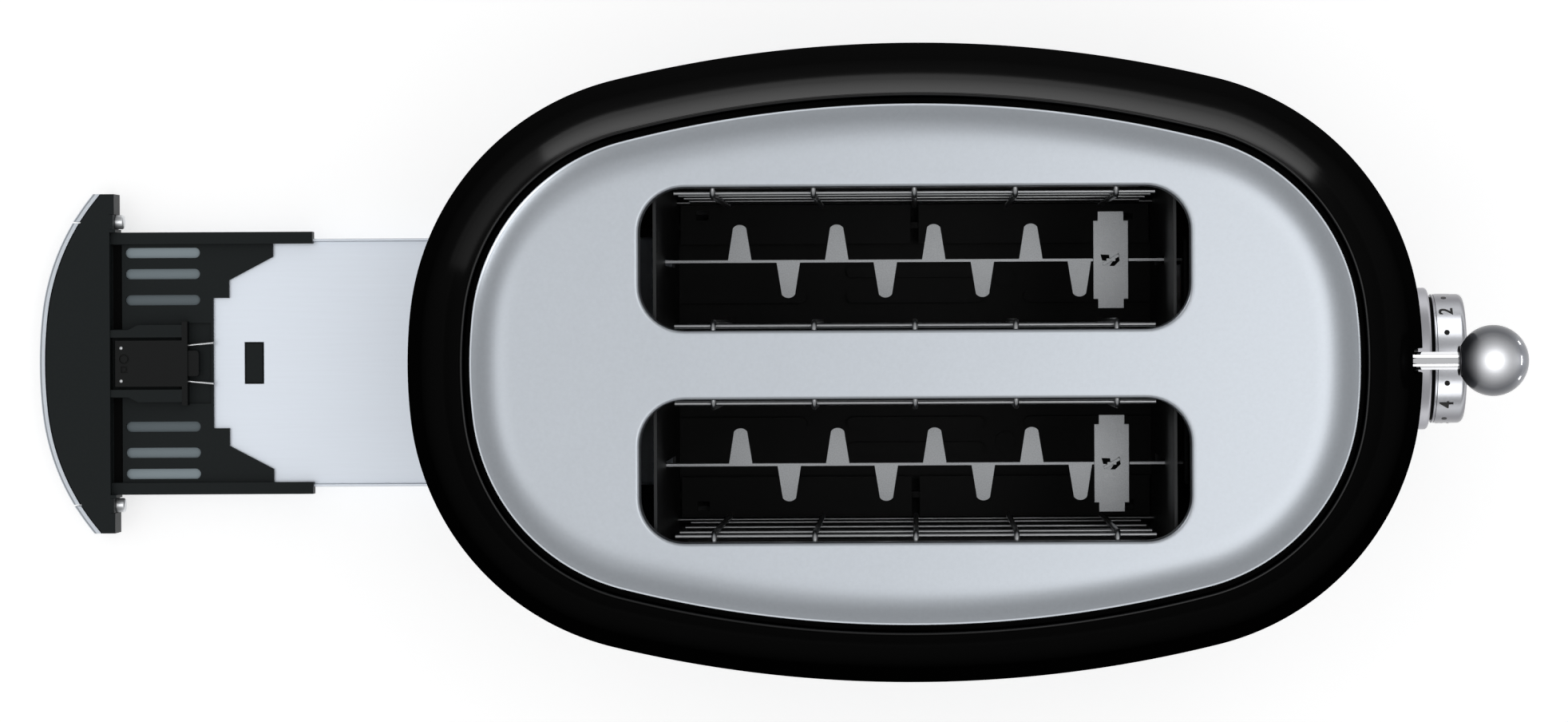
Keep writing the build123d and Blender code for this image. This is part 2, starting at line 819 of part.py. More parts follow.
def cross_plate(y):
    """The plate across the rack that holds the cages apart; its ends are notched."""
    with BuildPart() as piece:
        with BuildSketch(level(rack_height)):
            with Locations((cross_x, y)):
                Rectangle(cross_width, 2 * (cross_reach - 2 * cross_notch))
                Rectangle(cross_width - 2 * cross_notch, 2 * cross_reach)
                Rectangle(lock_length / 2, rack_wall, mode=Mode.SUBTRACT)
        extrude(amount=cross_wall)
    return piece.part


racks = [rack(y) for y in slot_centres]
cross_plates = [cross_plate(y) for y in slot_centres]

# Guide rod, held by the two brackets of the front frame
with BuildPart() as guide_rod:
    with BuildSketch(level(rod_low - frame_wall)):
        with Locations((rod_x, 0)):
            Circle(rod_radius)
    extrude(amount=rod_high - rod_low + 2 * frame_wall)

# Carriage: a bush on the rod, an arm across the racks, a strap up to the lever, a side arm
with BuildPart() as carriage:
    with BuildSketch(level(arm_low)):
        with Locations((rack_front + arm_wall / 2, 0)):
            Rectangle(arm_wall, 2 * arm_half_width)
        with Locations(((rack_front + strap_x) / 2, 0)):
            Rectangle(strap_x - rack_front, bush_radius)
        with Locations((rod_x, 0)):
            Circle(bush_radius)
    extrude(amount=arm_high - arm_low)
    with BuildSketch(level(arm_low)):
        with Locations((strap_x, 0)):
            Rectangle(strap_wall, strap_width)
    extrude(amount=lever_height + strap_width / 2 - arm_low)
    with BuildSketch(level(arm_low)):
        with Locations(((rack_front + side_arm_x + side_arm_size / 2) / 2, side_arm)):
            Rectangle(side_arm_x + side_arm_size / 2 - rack_front, side_arm_size)
    extrude(amount=arm_wall)
    with BuildSketch(level(0)):
        with Locations((rod_x, 0)):
            Circle(rod_radius + rod_clearance)
    extrude(amount=plate_height, mode=Mode.SUBTRACT)
    with BuildSketch(facing_front(strap_x - strap_wall)):
        with Locations((0, lever_height)):
            Circle(lever_radius)
    extrude(amount=2 * strap_wall, mode=Mode.SUBTRACT)

with BuildPart() as lever_rod:
    with BuildSketch(facing_front(strap_x - strap_wall / 2)):
        with Locations((0, lever_height)):
            Circle(lever_radius)
    extrude(amount=ball_x - ball_radius + knob_bore_depth - strap_x + strap_wall / 2)
    with BuildSketch(facing_front(strap_x - strap_wall)):
        with Locations((0, lever_height)):
            Circle(1.4 * lever_radius)
    extrude(amount=strap_wall / 2)

knob_seat = ball_x - sqrt(ball_radius**2 - collar_radius**2)

with BuildPart() as lever_collar:
    with BuildSketch(facing_front(knob_seat - collar_length)):
        with Locations((0, lever_height)):
            Circle(collar_radius)
            Circle(lever_radius, mode=Mode.SUBTRACT)
    extrude(amount=collar_length)

with BuildPart() as ball_knob:
    with Locations((body_x + ball_x, 0, lever_height)):
        Sphere(ball_radius)
    with BuildSketch(facing_front(ball_x - ball_radius)):
        with Locations((0, lever_height)):
            Circle(lever_radius)
    extrude(amount=knob_bore_depth, mode=Mode.SUBTRACT)
    with BuildSketch(facing_front(ball_x - 2 * ball_radius)):
        with Locations((0, lever_height)):
            Circle(ball_radius)
    extrude(amount=knob_seat - ball_x + 2 * ball_radius, mode=Mode.SUBTRACT)

# Lift spring: coiled round the rod, between the lower bracket and the bush
spring_length = arm_low - rod_low - spring_wire
with BuildPart() as lift_spring:
    with BuildLine() as coil:
        Helix(
            spring_pitch,
            spring_length,
            spring_radius,
            center=(body_x + rod_x, 0, rod_low + spring_wire / 2),
        )
    with BuildSketch(Plane(origin=coil.line @ 0, z_dir=coil.line % 0)):
        Circle(spring_wire / 2)
    sweep(path=coil.line, is_frenet=True)

# Holding magnet: a yoke on the front frame, its coil, and the armature on the carriage
magnet_top = arm_low - armature_thick - lift_travel - magnet_air
with BuildPart() as magnet_core:
    with BuildSketch(level(magnet_low)):
        with Locations(((chamber_half + frame_wall + magnet_x + magnet_depth / 2) / 2, side_arm)):
            Rectangle(
                magnet_x + magnet_depth / 2 - chamber_half - frame_wall, magnet_width
            )
    extrude(amount=magnet_leg)
    with BuildSketch(level(magnet_low)):
        with Locations((magnet_x, side_arm)):
            with GridLocations(0, (magnet_width - magnet_leg), 1, 2):
                Rectangle(magnet_depth, magnet_leg)
    extrude(amount=magnet_top - magnet_low)
    with BuildSketch(level(magnet_low)):
        with Locations((magnet_x, side_arm)):
            Rectangle(magnet_leg, magnet_leg)
    extrude(amount=magnet_top - magnet_low)

with BuildPart() as magnet_coil:
    with BuildSketch(level(magnet_low + magnet_leg)):
        with Locations((magnet_x, side_arm)):
            RectangleRounded(magnet_depth - 1, magnet_width - 2 * magnet_leg - 1, 1)
            Rectangle(magnet_leg, magnet_leg, mode=Mode.SUBTRACT)
    extrude(amount=magnet_top - magnet_low - magnet_leg - 1)

with BuildPart() as armature_plate:
    with BuildSketch(level(arm_low - armature_thick)):
        with Locations((magnet_x, side_arm)):
            Rectangle(magnet_depth, magnet_width)
    extrude(amount=armature_thick)

# Control board with its switches, and the dial's potentiometer
board_face = board_x + control_board_wall / 2
with BuildPart() as control_board:
    with BuildSketch(facing_front(board_x - control_board_wall / 2)):
        with Locations((0, (floor_top + control_board_top) / 2)):
            Rectangle(control_board_width, control_board_top - floor_top)
    extrude(amount=control_board_wall)
    with BuildSketch(facing_front(board_face)):
        with Locations((0, button_height)):
            with GridLocations(button_pitch, 0, 3, 1):
                Rectangle(switch_size, switch_size)
    extrude(amount=switch_depth)
    with BuildSketch(facing_front(board_face)):
        with Locations(*relay_places):
            Rectangle(relay_length, relay_height)
    extrude(amount=relay_depth)

with BuildPart() as potentiometer:
    with BuildSketch(facing_front(board_face)):
        with Locations((0, dial_height)):
            Rectangle(potentiometer_size, potentiometer_size)
    extrude(amount=potentiometer_depth)
    with BuildSketch(facing_front(board_face + socket_floor)):
        with Locations((0, dial_height)):
            Circle(shaft_radius + shaft_clearance)
    extrude(amount=potentiometer_depth, mode=Mode.SUBTRACT)

with BuildPart() as pot_shaft:
    with BuildSketch(facing_front(board_face + socket_floor + shaft_clearance)):
        with Locations((0, dial_height)):
            Circle(shaft_radius)
    extrude(amount=dial_front - dial_wall - board_face - socket_floor - shaft_clearance)

with BuildPart() as dial_knob:
    with BuildSketch(facing_front(dial_rear)):
        with Locations((0, dial_height)):
            Circle(dial_radius)
    extrude(amount=dial_front - dial_rear)
    fillet(dial_knob.edges().group_by(Axis.X)[-1], dial_edge)
    with BuildSketch(facing_front(dial_rear)):
        with Locations((0, dial_height)):
            Circle(dial_radius - dial_wall)
    extrude(amount=dial_front - dial_rear - dial_wall, mode=Mode.SUBTRACT)
    with BuildSketch(facing_front(bezel_rear + dial_wall + 1)):
        with Locations((0, dial_height)):
            Circle(hub_radius)
    extrude(amount=dial_front - dial_wall - bezel_rear - dial_wall - 1)
    with BuildSketch(facing_front(0)):
        with Locations((0, dial_height)):
            Circle(shaft_radius)
    extrude(amount=dial_front - dial_wall, mode=Mode.SUBTRACT)

with BuildPart() as dial_bezel:
    with BuildSketch(facing_front(bezel_rear)):
        with Locations((0, dial_height)):
            Circle(bezel_radius)
    extrude(amount=bezel_front - bezel_rear)
    fillet(dial_bezel.edges().group_by(Axis.X)[-1], bezel_edge)
    with BuildSketch(facing_front(bezel_rear + dial_wall)):
        with Locations((0, dial_height)):
            Circle(bezel_bore)
    extrude(amount=bezel_front - bezel_rear, mode=Mode.SUBTRACT)
    with BuildSketch(facing_front(bezel_rear)):
        with Locations((0, dial_height)):
            Circle(shaft_radius + shaft_clearance)
    extrude(amount=dial_wall, mode=Mode.SUBTRACT)

# Push buttons in a row under the dial, carried by a moulded guide that stands on the base plate
with BuildPart() as button_guide:
    with BuildSketch(facing_front(button_guide_x)):
        with Locations((0, (floor_top + button_height + guide_rise) / 2)):
            Rectangle(3 * button_pitch, button_height + guide_rise - floor_top)
        with Locations((0, (floor_top + button_height - guide_rise) / 2)):
            Rectangle(2 * button_pitch, button_height - guide_rise - floor_top, mode=Mode.SUBTRACT)
        with Locations((0, button_height)):
            with GridLocations(button_pitch, 0, 3, 1):
                Circle(button_stem_radius + shaft_clearance, mode=Mode.SUBTRACT)
    extrude(amount=button_guide_depth)


def push_button(y):
    """A round button with a stem that reaches its switch."""
    face = body_length / 2 - profile_inset(button_height) - y**2 / (2 * body_radii[0])
    cap_rear = button_guide_x + button_guide_depth + button_travel + button_stop
    stem_rear = board_face + switch_depth + button_travel + shaft_clearance
    with BuildPart() as piece:
        with BuildSketch(facing_front(cap_rear)):
            with Locations((y, button_height)):
                Circle(button_radius)
        extrude(amount=face + button_proud - cap_rear)
        fillet(piece.edges().group_by(Axis.X)[-1], button_edge)
        with BuildSketch(facing_front(stem_rear)):
            with Locations((y, button_height)):
                Circle(button_stem_radius)
        extrude(amount=cap_rear + stem_overlap - stem_rear)
    return piece.part


buttons = [push_button(y) for y in (-button_pitch, 0, button_pitch)]


def tray_front(inset, half):
    """The plan of the tray front: the base ring's outline drawn out, cut off at its ends."""
    with BuildSketch() as plan:
        with Locations((-tray_out, 0)):
            add(outline(foot_share, ring_inset + inset))
        with Locations((-tray_reach + front_depth / 2, 0)):
            Rectangle(front_depth, 2 * half, mode=Mode.INTERSECT)
    return plan.sketch


# Crumb tray sheet, with turned-up edges and a window for the carrier's nib
with BuildPart() as tray_sheet:
    with BuildSketch(level(sheet_bottom)):
        with Locations(((sheet_start + sheet_end) / 2, 0)):
            Rectangle(sheet_end - sheet_start, 2 * sheet_half_width)
        with Locations((window_x, 0)):
            Rectangle(window_length, window_width, mode=Mode.SUBTRACT)
    extrude(amount=sheet_wall)
    with BuildSketch(level(sheet_bottom)):
        with Locations(((sheet_start + sheet_end) / 2, 0)):
            with GridLocations(0, 2 * sheet_half_width - sheet_wall, 1, 2):
                Rectangle(sheet_end - sheet_start, sheet_wall)
        with Locations((sheet_end - sheet_wall / 2, 0)):
            Rectangle(sheet_wall, 2 * sheet_half_width)
    extrude(amount=sheet_flange)

# Chrome skin over the tray front
with BuildPart() as tray_trim:
    with BuildSketch(level(tray_bottom)):
        add(tray_front(0, front_half))
        add(tray_front(trim_wall, front_half), mode=Mode.SUBTRACT)
    extrude(amount=tray_top - tray_bottom)

# Tray carrier: black front, slotted plate, side rails, latch bracket, and a nib for the window
front_face = -tray_reach + front_depth
with BuildPart() as tray_carrier:
    with BuildSketch(level(tray_bottom)):
        add(tray_front(trim_wall, front_half))
    extrude(amount=tray_top - tray_bottom)
    with BuildSketch(level(tray_bottom)):
        add(tray_front(trim_wall + front_wall, front_half - front_wall))
        with Locations((front_face, 0)):
            Rectangle(2 * front_wall, tray_width, mode=Mode.SUBTRACT)
    extrude(amount=tray_top - tray_bottom - front_wall, mode=Mode.SUBTRACT)
    with BuildSketch(level(tray_bottom)):
        with Locations((front_face + lug_depth / 2, 0)):
            with GridLocations(0, tray_width - lug_width, 1, 2):
                Rectangle(lug_depth, lug_width)
        with Locations((front_face + screw_boss / 2, 0)):
            with GridLocations(0, 2 * tray_screw_y, 1, 2):
                Rectangle(screw_boss, 2 * screw_head_radius)
        with Locations((front_face + screw_web / 2, 0)):
            with GridLocations(0, carrier_rail_outer + screw_inner, 1, 2):
                Rectangle(screw_web, screw_inner - carrier_rail_outer)
    extrude(amount=tray_top - tray_bottom)
    with BuildSketch(level(carrier_rail_low)):
        with Locations(((front_face + tray_rail_end) / 2, 0)):
            with GridLocations(0, carrier_rail_outer + carrier_rail_inner, 1, 2):
                Rectangle(tray_rail_end - front_face, carrier_rail_outer - carrier_rail_inner)
    extrude(amount=carrier_rail_high - carrier_rail_low)
    with BuildSketch(level(sheet_bottom + sheet_wall)):
        with BuildLine():
            Polyline(
                (front_face, 0),
                (gusset_x[0], 0),
                (gusset_x[0], gusset_y[0]),
                (gusset_x[1], gusset_y[0]),
                (gusset_x[1], gusset_y[1]),
                (gusset_x[2], gusset_y[2]),
                (gusset_x[2], carrier_rail_inner),
                (front_face, carrier_rail_inner),
                close=True,
            )
        make_face()
        mirror(about=Plane.XZ)
        for y in vent_slot_y:
            with Locations((vent_slot_x, y), (vent_slot_x, -y)):
                SlotOverall(vent_slot_length, vent_slot_width, mode=Mode.SUBTRACT)
    extrude(amount=carrier_plate_top - sheet_bottom - sheet_wall)
    with BuildSketch(level(carrier_plate_top)):
        with Locations(((case_front + pocket_front) / 2, 0)):
            Rectangle(pocket_front - case_front, 2 * pocket_half_width)
    extrude(amount=-pocket_depth, mode=Mode.SUBTRACT)
    with BuildSketch(level(carrier_plate_top)):
        with Locations((front_face + channel_width / 2, 0)):
            with GridLocations(0, carrier_rail_inner + case_arm_half_width, 1, 2):
                Rectangle(channel_width, carrier_rail_inner - case_arm_half_width)
    extrude(amount=-channel_depth, mode=Mode.SUBTRACT)
    with BuildSketch(level(tongue_bottom)):
        with Locations(((front_face + window_x + window_length) / 2, 0)):
            Rectangle(window_x + window_length - front_face, 2 * tongue_half_width)
    extrude(amount=sheet_bottom - tongue_bottom)
    with BuildSketch(level(sheet_bottom)):
        with Locations((window_x, 0)):
            Rectangle(window_length - 1, window_width - 1)
    extrude(amount=sheet_wall)
    with BuildSketch(level(carrier_plate_top)):
        with BuildLine():
            Polyline(
                (front_face, case_arm_inner),
                (front_face, case_arm_half_width),
                (case_bulge_start, case_arm_half_width),
                (case_bulge_full, case_bulge_half_width),
                (case_front, case_bulge_half_width),
                (case_front, case_arm_inner),
                close=True,
            )
        make_face()
        mirror(about=Plane.XZ)
    extrude(amount=case_top - carrier_plate_top)
    with BuildSketch(facing_front(front_face + screw_boss)):
        with Locations((0, screw_level)):
            with GridLocations(2 * tray_screw_y, 0, 2, 1):
                Circle(screw_shank_radius)
    extrude(amount=-screw_length, mode=Mode.SUBTRACT)
    add(tray_sheet.part, mode=Mode.SUBTRACT)

with BuildPart() as tray_screws:
    with BuildSketch(facing_front(front_face + screw_boss)):
        with Locations((0, screw_level)):
            with GridLocations(2 * tray_screw_y, 0, 2, 1):
                Circle(screw_head_radius)
    extrude(amount=screw_head_height)
    fillet(tray_screws.edges().group_by(Axis.X)[-1], screw_head_edge)
    with BuildSketch(facing_front(front_face + screw_boss)):
        with Locations((0, screw_level)):
            with GridLocations(2 * tray_screw_y, 0, 2, 1):
                Circle(screw_shank_radius)
    extrude(amount=-screw_length)

# Latch on the tray: case with a cross flange, sprung catch, two wire prongs
catch_level = (carrier_plate_top + case_top) / 2
with BuildPart() as latch_case:
    with BuildSketch(level(carrier_plate_top)):
        with Locations(((case_rear + case_front) / 2, 0)):
            Rectangle(case_front - case_rear, 2 * case_half_width)
    extrude(amount=case_top - carrier_plate_top)
    with BuildSketch(level(carrier_plate_top)):
        with Locations((case_front + flange_wall / 2, 0)):
            Rectangle(flange_wall, 2 * flange_half_width)
    extrude(amount=case_top - carrier_plate_top)
    with BuildSketch(facing_front(case_front + flange_wall)):
        with Locations((0, catch_level)):
            Rectangle(2 * (catch_half_width + shaft_clearance), catch_height + 2 * shaft_clearance)
    extrude(amount=-catch_channel, mode=Mode.SUBTRACT)
    with BuildSketch(facing_front(case_front + flange_wall)):
        with Locations((-prong_y, prong_height), (prong_y, prong_height)):
            Circle(prong_radius)
    extrude(amount=-prong_seat, mode=Mode.SUBTRACT)
    with BuildSketch(level(case_top)):
        with Locations((case_rear + case_mark_inset, case_ring_y)):
            Circle(case_ring_radius)
            Circle(case_ring_radius - case_mark_line, mode=Mode.SUBTRACT)
        with Locations((case_rear + case_mark_inset, case_square_y)):
            Rectangle(case_square, case_square)
            Rectangle(case_square - 2 * case_mark_line, case_square - 2 * case_mark_line, mode=Mode.SUBTRACT)
    extrude(amount=-case_mark_depth, mode=Mode.SUBTRACT)

with BuildPart() as latch_catch:
    with BuildSketch(facing_front(case_front + flange_wall + catch_length)):
        with Locations((0, catch_level)):
            Rectangle(2 * catch_half_width, catch_height)
    extrude(amount=catch_travel + 0.5 - catch_channel - catch_length)
    fillet(latch_catch.faces().sort_by(Axis.X)[-1].edges().filter_by(Axis.Z), catch_edge)

with BuildPart() as latch_prongs:
    with BuildSketch(facing_front(prong_end)):
        with Locations((-prong_y, prong_height), (prong_y, prong_height)):
            Circle(prong_radius)
    extrude(amount=case_front + flange_wall - prong_seat - prong_end)

# Strike: the plate on the rear frame that the catch meets when the tray is home
strike_rear = case_front + flange_wall + catch_length + tray_out + strike_gap
frame_rear = -frame_x - frame_wall / 2
with BuildPart() as latch_strike:
    with BuildSketch(facing_right(strike_half_width)):
        with BuildLine():
            Polyline(
                (strike_rear, strike_low),
                (strike_rear + strike_wall, strike_low),
                (strike_rear + strike_wall, strike_high - strike_wall),
                (frame_rear, strike_high - strike_wall),
                (frame_rear, strike_high + strike_lift),
                (frame_rear - strike_wall, strike_high + strike_lift),
                (frame_rear - strike_wall, strike_high),
                (strike_rear, strike_high),
                close=True,
            )
        make_face()
    extrude(amount=2 * strike_half_width)

pieces = {
    "outer_shell": outer_shell.part,
    "top_plate": top_plate.part,
    "base_ring": base_ring.part,
    "base_plate": base_plate.part,
    "foot_front_left": feet[0],
    "foot_front_right": feet[1],
    "foot_rear_left": feet[2],
    "foot_rear_right": feet[3],
    "base_screws": base_screws.part,
    "cord_gland": cord_gland.part,
    "terminal_block": terminal_block.part,
    "front_frame": front_frame,
    "rear_frame": rear_frame,
    "reflector_left": reflector(1),
    "reflector_right": reflector(-1),
    "guide_rod": guide_rod.part,
    "carriage": carriage.part,
    "lever_rod": lever_rod.part,
    "lever_collar": lever_collar.part,
    "ball_knob": ball_knob.part,
    "lift_spring": lift_spring.part,
    "magnet_core": magnet_core.part,
    "magnet_coil": magnet_coil.part,
    "armature_plate": armature_plate.part,
    "control_board": control_board.part,
    "potentiometer": potentiometer.part,
    "pot_shaft": pot_shaft.part,
    "dial_knob": dial_knob.part,
    "dial_bezel": dial_bezel.part,
    "button_guide": button_guide.part,
    "stop_button": buttons[0],
    "reheat_button": buttons[1],
    "defrost_button": buttons[2],
    "tray_sheet": tray_sheet.part,
    "tray_carrier": tray_carrier.part,
    "tray_trim": tray_trim.part,
    "tray_screws": tray_screws.part,
    "latch_case": latch_case.part,
    "latch_catch": latch_catch.part,
    "latch_prongs": latch_prongs.part,
    "latch_strike": latch_strike.part,
}
for side, name in enumerate(("left", "right")):
    pieces[f"rack_{name}"] = racks[side]
    pieces[f"cross_plate_{name}"] = cross_plates[side]
    for row, place in enumerate(("outer", "inner") if name == "left" else ("inner", "outer")):
        pieces[f"guide_{name}_{place}"] = cages[2 * side + row]
        pieces[f"heater_board_{name}_{place}"] = boards[2 * side + row]
        pieces[f"heater_winding_{name}_{place}"] = windings[2 * side + row]

os.makedirs("parts", exist_ok=True)
for name, piece in pieces.items():
    piece.label = name
    export_step(piece, f"parts/{name}.step")
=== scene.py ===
import json
import math

import bmesh
import bpy
import numpy as np
from mathutils import Matrix, Vector

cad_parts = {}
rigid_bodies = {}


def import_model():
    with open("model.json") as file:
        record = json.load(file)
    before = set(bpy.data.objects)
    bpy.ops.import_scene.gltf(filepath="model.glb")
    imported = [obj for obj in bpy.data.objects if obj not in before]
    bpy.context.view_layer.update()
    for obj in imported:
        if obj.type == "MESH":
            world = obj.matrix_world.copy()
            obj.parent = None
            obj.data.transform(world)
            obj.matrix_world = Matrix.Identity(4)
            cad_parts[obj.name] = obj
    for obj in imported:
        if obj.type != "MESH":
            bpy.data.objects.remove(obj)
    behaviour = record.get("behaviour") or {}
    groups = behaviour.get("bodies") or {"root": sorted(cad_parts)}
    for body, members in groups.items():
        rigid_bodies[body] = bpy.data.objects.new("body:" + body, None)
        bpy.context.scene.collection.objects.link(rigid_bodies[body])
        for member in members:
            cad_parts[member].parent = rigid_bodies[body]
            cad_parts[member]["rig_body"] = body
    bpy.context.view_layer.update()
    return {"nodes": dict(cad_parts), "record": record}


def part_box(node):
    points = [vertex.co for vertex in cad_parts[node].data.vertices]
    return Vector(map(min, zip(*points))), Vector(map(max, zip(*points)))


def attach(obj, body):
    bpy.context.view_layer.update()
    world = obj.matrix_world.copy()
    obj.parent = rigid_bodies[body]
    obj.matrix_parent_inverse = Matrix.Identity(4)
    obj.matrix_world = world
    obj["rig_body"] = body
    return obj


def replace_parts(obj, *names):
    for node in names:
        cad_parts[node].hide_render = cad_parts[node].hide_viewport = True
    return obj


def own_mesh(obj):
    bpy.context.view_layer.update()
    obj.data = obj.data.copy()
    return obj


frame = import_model()
nodes = frame["nodes"]
mm = 0.001
shellLow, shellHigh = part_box("outer_shell")
bodyX = (shellLow[0] + shellHigh[0]) / 2
print("frame loaded")

# Camera straight above the top plate. shift puts the body where the photograph has it
view = dict(
    height=1.827,
    beside=(0.0, 0.0133),
    frameWidth=0.4545,
    frameDistance=1.631,
    shift=(-0.0835, -0.0271),
    roll=-0.28,
    floorGrey=0.90,
    floorLift=0.60,
    floorReach=6,
)


def addObject(name, data):
    thing = bpy.data.objects.new(name, data)
    bpy.context.scene.collection.objects.link(thing)
    return thing


def makeCamera():
    lens = bpy.data.cameras.new("camera")
    lens.sensor_width = 36
    lens.lens = lens.sensor_width * view["frameDistance"] / view["frameWidth"]
    lens.shift_x, lens.shift_y = view["shift"]
    lens.clip_end = 20
    camera = addObject("camera", lens)
    camera.location = (bodyX + view["beside"][0], view["beside"][1], view["height"])
    camera.rotation_euler = (0, 0, math.radians(view["roll"]))
    bpy.context.scene.camera = camera


# Softboxes: where each stands, what it looks at, its size and its power. The low ones stand
# beyond the toaster's left side, at +Y, and draw the soft band on its shell
knobPlace = (0.221, 0, 0.156)
dialPlace = (0.165, 0, 0.086)
trayPlace = (-0.20, 0, 0.012)
onKnob = dict(look=knobPlace, only="ball")
onRound = dict(look=dialPlace, only="round", past="body")
softboxes = dict(
    overhead=dict(at=(0.50, -0.06, 2.3), size=(1.5, 0.64), power=4.0, without="rod"),
    overheadWide=dict(at=(0.0, 0.0, 2.3), size=(3.4, 3.2), power=5.0),
    overheadLeft=dict(at=(-0.66, -0.03, 2.3), size=(0.8, 0.64), power=1.35),
    overTray=dict(at=(-0.42, 0.0, 1.9), size=(0.9, 0.9), power=6.5, look=trayPlace, only="tray"),
    lowBack=dict(at=(0.10, 0.66, 0.17), size=(1.3, 0.30), power=21.0, only="body"),
    lowCorner=dict(at=(-0.66, 0.46, 0.17), size=(0.5, 0.30), power=1.5, only="edge"),
    knobUpper=dict(at=(0.410, 0.118, 0.045), size=(0.028, 0.028), power=0.075, **onKnob),
    knobMiddle=dict(at=(0.567, 0, 0.103), size=(0.11, 0.035), power=0.42, **onKnob),
    knobLower=dict(at=(0.410, -0.118, 0.045), size=(0.028, 0.028), power=0.075, **onKnob),
    knobTop=dict(at=(0.20, 0, 1.3), size=(0.60, 0.60), power=7.6, **onKnob),
    bandUpper=dict(at=(0.20, 0.90, 0.58), size=(0.8, 0.72), power=3.8, **onRound),
    bandLower=dict(at=(0.20, -0.85, 0.66), size=(0.8, 0.50), power=2.7, **onRound),
)
# Pieces for a softbox that has only, without or past (these cast no shadow in it)
lightGroups = dict(
    ball=("ballKnob",), round=("dialKnob", "leverRodSkin"), rod=("leverRodSkin",),
    body=("shellSkin",), edge=("shellSkin", "topPlateSkin"),
    tray=("tray_sheetRounded", "tray_screwsRounded", "trayProngs"),
)
lookAt = (0.05, 0, 0.12)
worldLevel = 0.40


# Run once the pieces are there
def aimLights():
    for name, box in softboxes.items():
        for key in ("only", "without", "past"):
            if key not in box:
                continue
            held = bpy.data.collections.new(f"{name} {key}")
            for piece in lightGroups[box[key]]:
                held.objects.link(bpy.data.objects[piece])
            linking = bpy.data.objects[name].light_linking
            if key == "past":
                linking.blocker_collection = held
            else:
                linking.receiver_collection = held
            if key != "only":
                for row in held.collection_objects:
                    row.light_linking.link_state = "EXCLUDE"


def makeLights():
    for name, box in softboxes.items():
        lamp = bpy.data.lights.new(name, "AREA")
        lamp.shape = "RECTANGLE"
        lamp.size, lamp.size_y = box["size"]
        lamp.energy = box["power"]
        light = addObject(name, lamp)
        light.visible_camera = False
        light.location = box["at"]
        aim = Vector(box.get("look", lookAt)) - light.location
        light.rotation_euler = aim.to_track_quat("-Z", "Y").to_euler()
    world = bpy.data.worlds.new("studio")
    bpy.context.scene.world = world
    world.use_nodes = True
    sky = world.node_tree.nodes["Background"].inputs
    sky["Color"].default_value = (1, 1, 1, 1)
    sky["Strength"].default_value = worldLevel


# A Math node. Each value is a number or another node's output
def mathNode(tree, operation, *values):
    node = tree.nodes.new("ShaderNodeMath")
    node.operation = operation
    for socket, value in zip(node.inputs, values):
        if isinstance(value, bpy.types.NodeSocket):
            tree.links.new(value, socket)
        else:
            socket.default_value = value
    return node.outputs[0]


def makeFloor():
    mesh = bpy.data.meshes.new("floor")
    far = view["floorReach"]
    corners = [(-far, -far, 0), (far, -far, 0), (far, far, 0), (-far, far, 0)]
    mesh.from_pydata(corners, [], [(0, 1, 2, 3)])
    floor = addObject("floor", mesh)
    material = bpy.data.materials.new("paleFloor")
    material.use_nodes = True
    tree = material.node_tree
    shader = tree.nodes["Principled BSDF"].inputs
    shader["Base Color"].default_value = (view["floorGrey"],) * 3 + (1,)
    shader["Roughness"].default_value = 0.9
    shader["Emission Color"].default_value = (1, 1, 1, 1)
    rays = tree.nodes.new("ShaderNodeLightPath").outputs
    seen = mathNode(tree, "MAXIMUM", rays["Is Camera Ray"], rays["Is Glossy Ray"])
    seen = mathNode(tree, "MAXIMUM", seen, rays["Is Transmission Ray"])
    lift = mathNode(tree, "MULTIPLY", seen, view["floorLift"])
    tree.links.new(lift, shader["Emission Strength"])
    mesh.materials.append(material)


makeCamera()
makeLights()
makeFloor()
bpy.context.scene.view_settings.view_transform = "Standard"
print("camera, lights and floor made")


# Mesh helpers. Every piece sits at the origin, with its place in its vertices
def newPiece(name, vertices, faces, body, material, sharpAngle=35):
    mesh = bpy.data.meshes.new(name)
    points = np.asarray(vertices).reshape(-1, 3).tolist()
    mesh.from_pydata(points, [], [list(map(int, f)) for f in faces])
    mesh.validate()
    return dressPiece(name, mesh, body, material, sharpAngle)


def dressPiece(name, mesh, body, material, sharpAngle=35):
    bm = bmesh.new()
    bm.from_mesh(mesh)
    bmesh.ops.remove_doubles(bm, verts=bm.verts, dist=1e-6)
    bmesh.ops.recalc_face_normals(bm, faces=bm.faces)
    bm.to_mesh(mesh)
    bm.free()
    mesh.shade_smooth()
    mesh.set_sharp_from_angle(angle=math.radians(sharpAngle))
    piece = addObject(name, mesh)
    mesh.materials.append(material)
    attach(piece, body)
    return piece


# Quads of a grid of rows by columns; a closed way joins its last line to its first
def gridFaces(rows, columns, closedRows=False, closedColumns=True):
    index = np.arange(rows * columns).reshape(rows, columns)
    if closedRows:
        index = np.vstack([index, index[:1]])
    if closedColumns:
        index = np.hstack([index, index[:, :1]])
    corners = [index[:-1, :-1], index[:-1, 1:], index[1:, 1:], index[1:, :-1]]
    return np.stack(corners, -1).reshape(-1, 4)


# A profile of (along, radius) pairs turned about a line through centre, along X or Z
def latheSurface(profile, centre, axis="X", steps=96):
    profile = np.asarray(profile, float)
    turn = np.linspace(0, 2 * np.pi, steps, endpoint=False)
    along = np.repeat(profile[:, :1], steps, 1)
    across = profile[:, 1:] * np.cos(turn)
    up = profile[:, 1:] * np.sin(turn)
    points = np.stack([along, across, up] if axis == "X" else [across, up, along], -1)
    return points + np.asarray(centre), gridFaces(len(profile), steps)


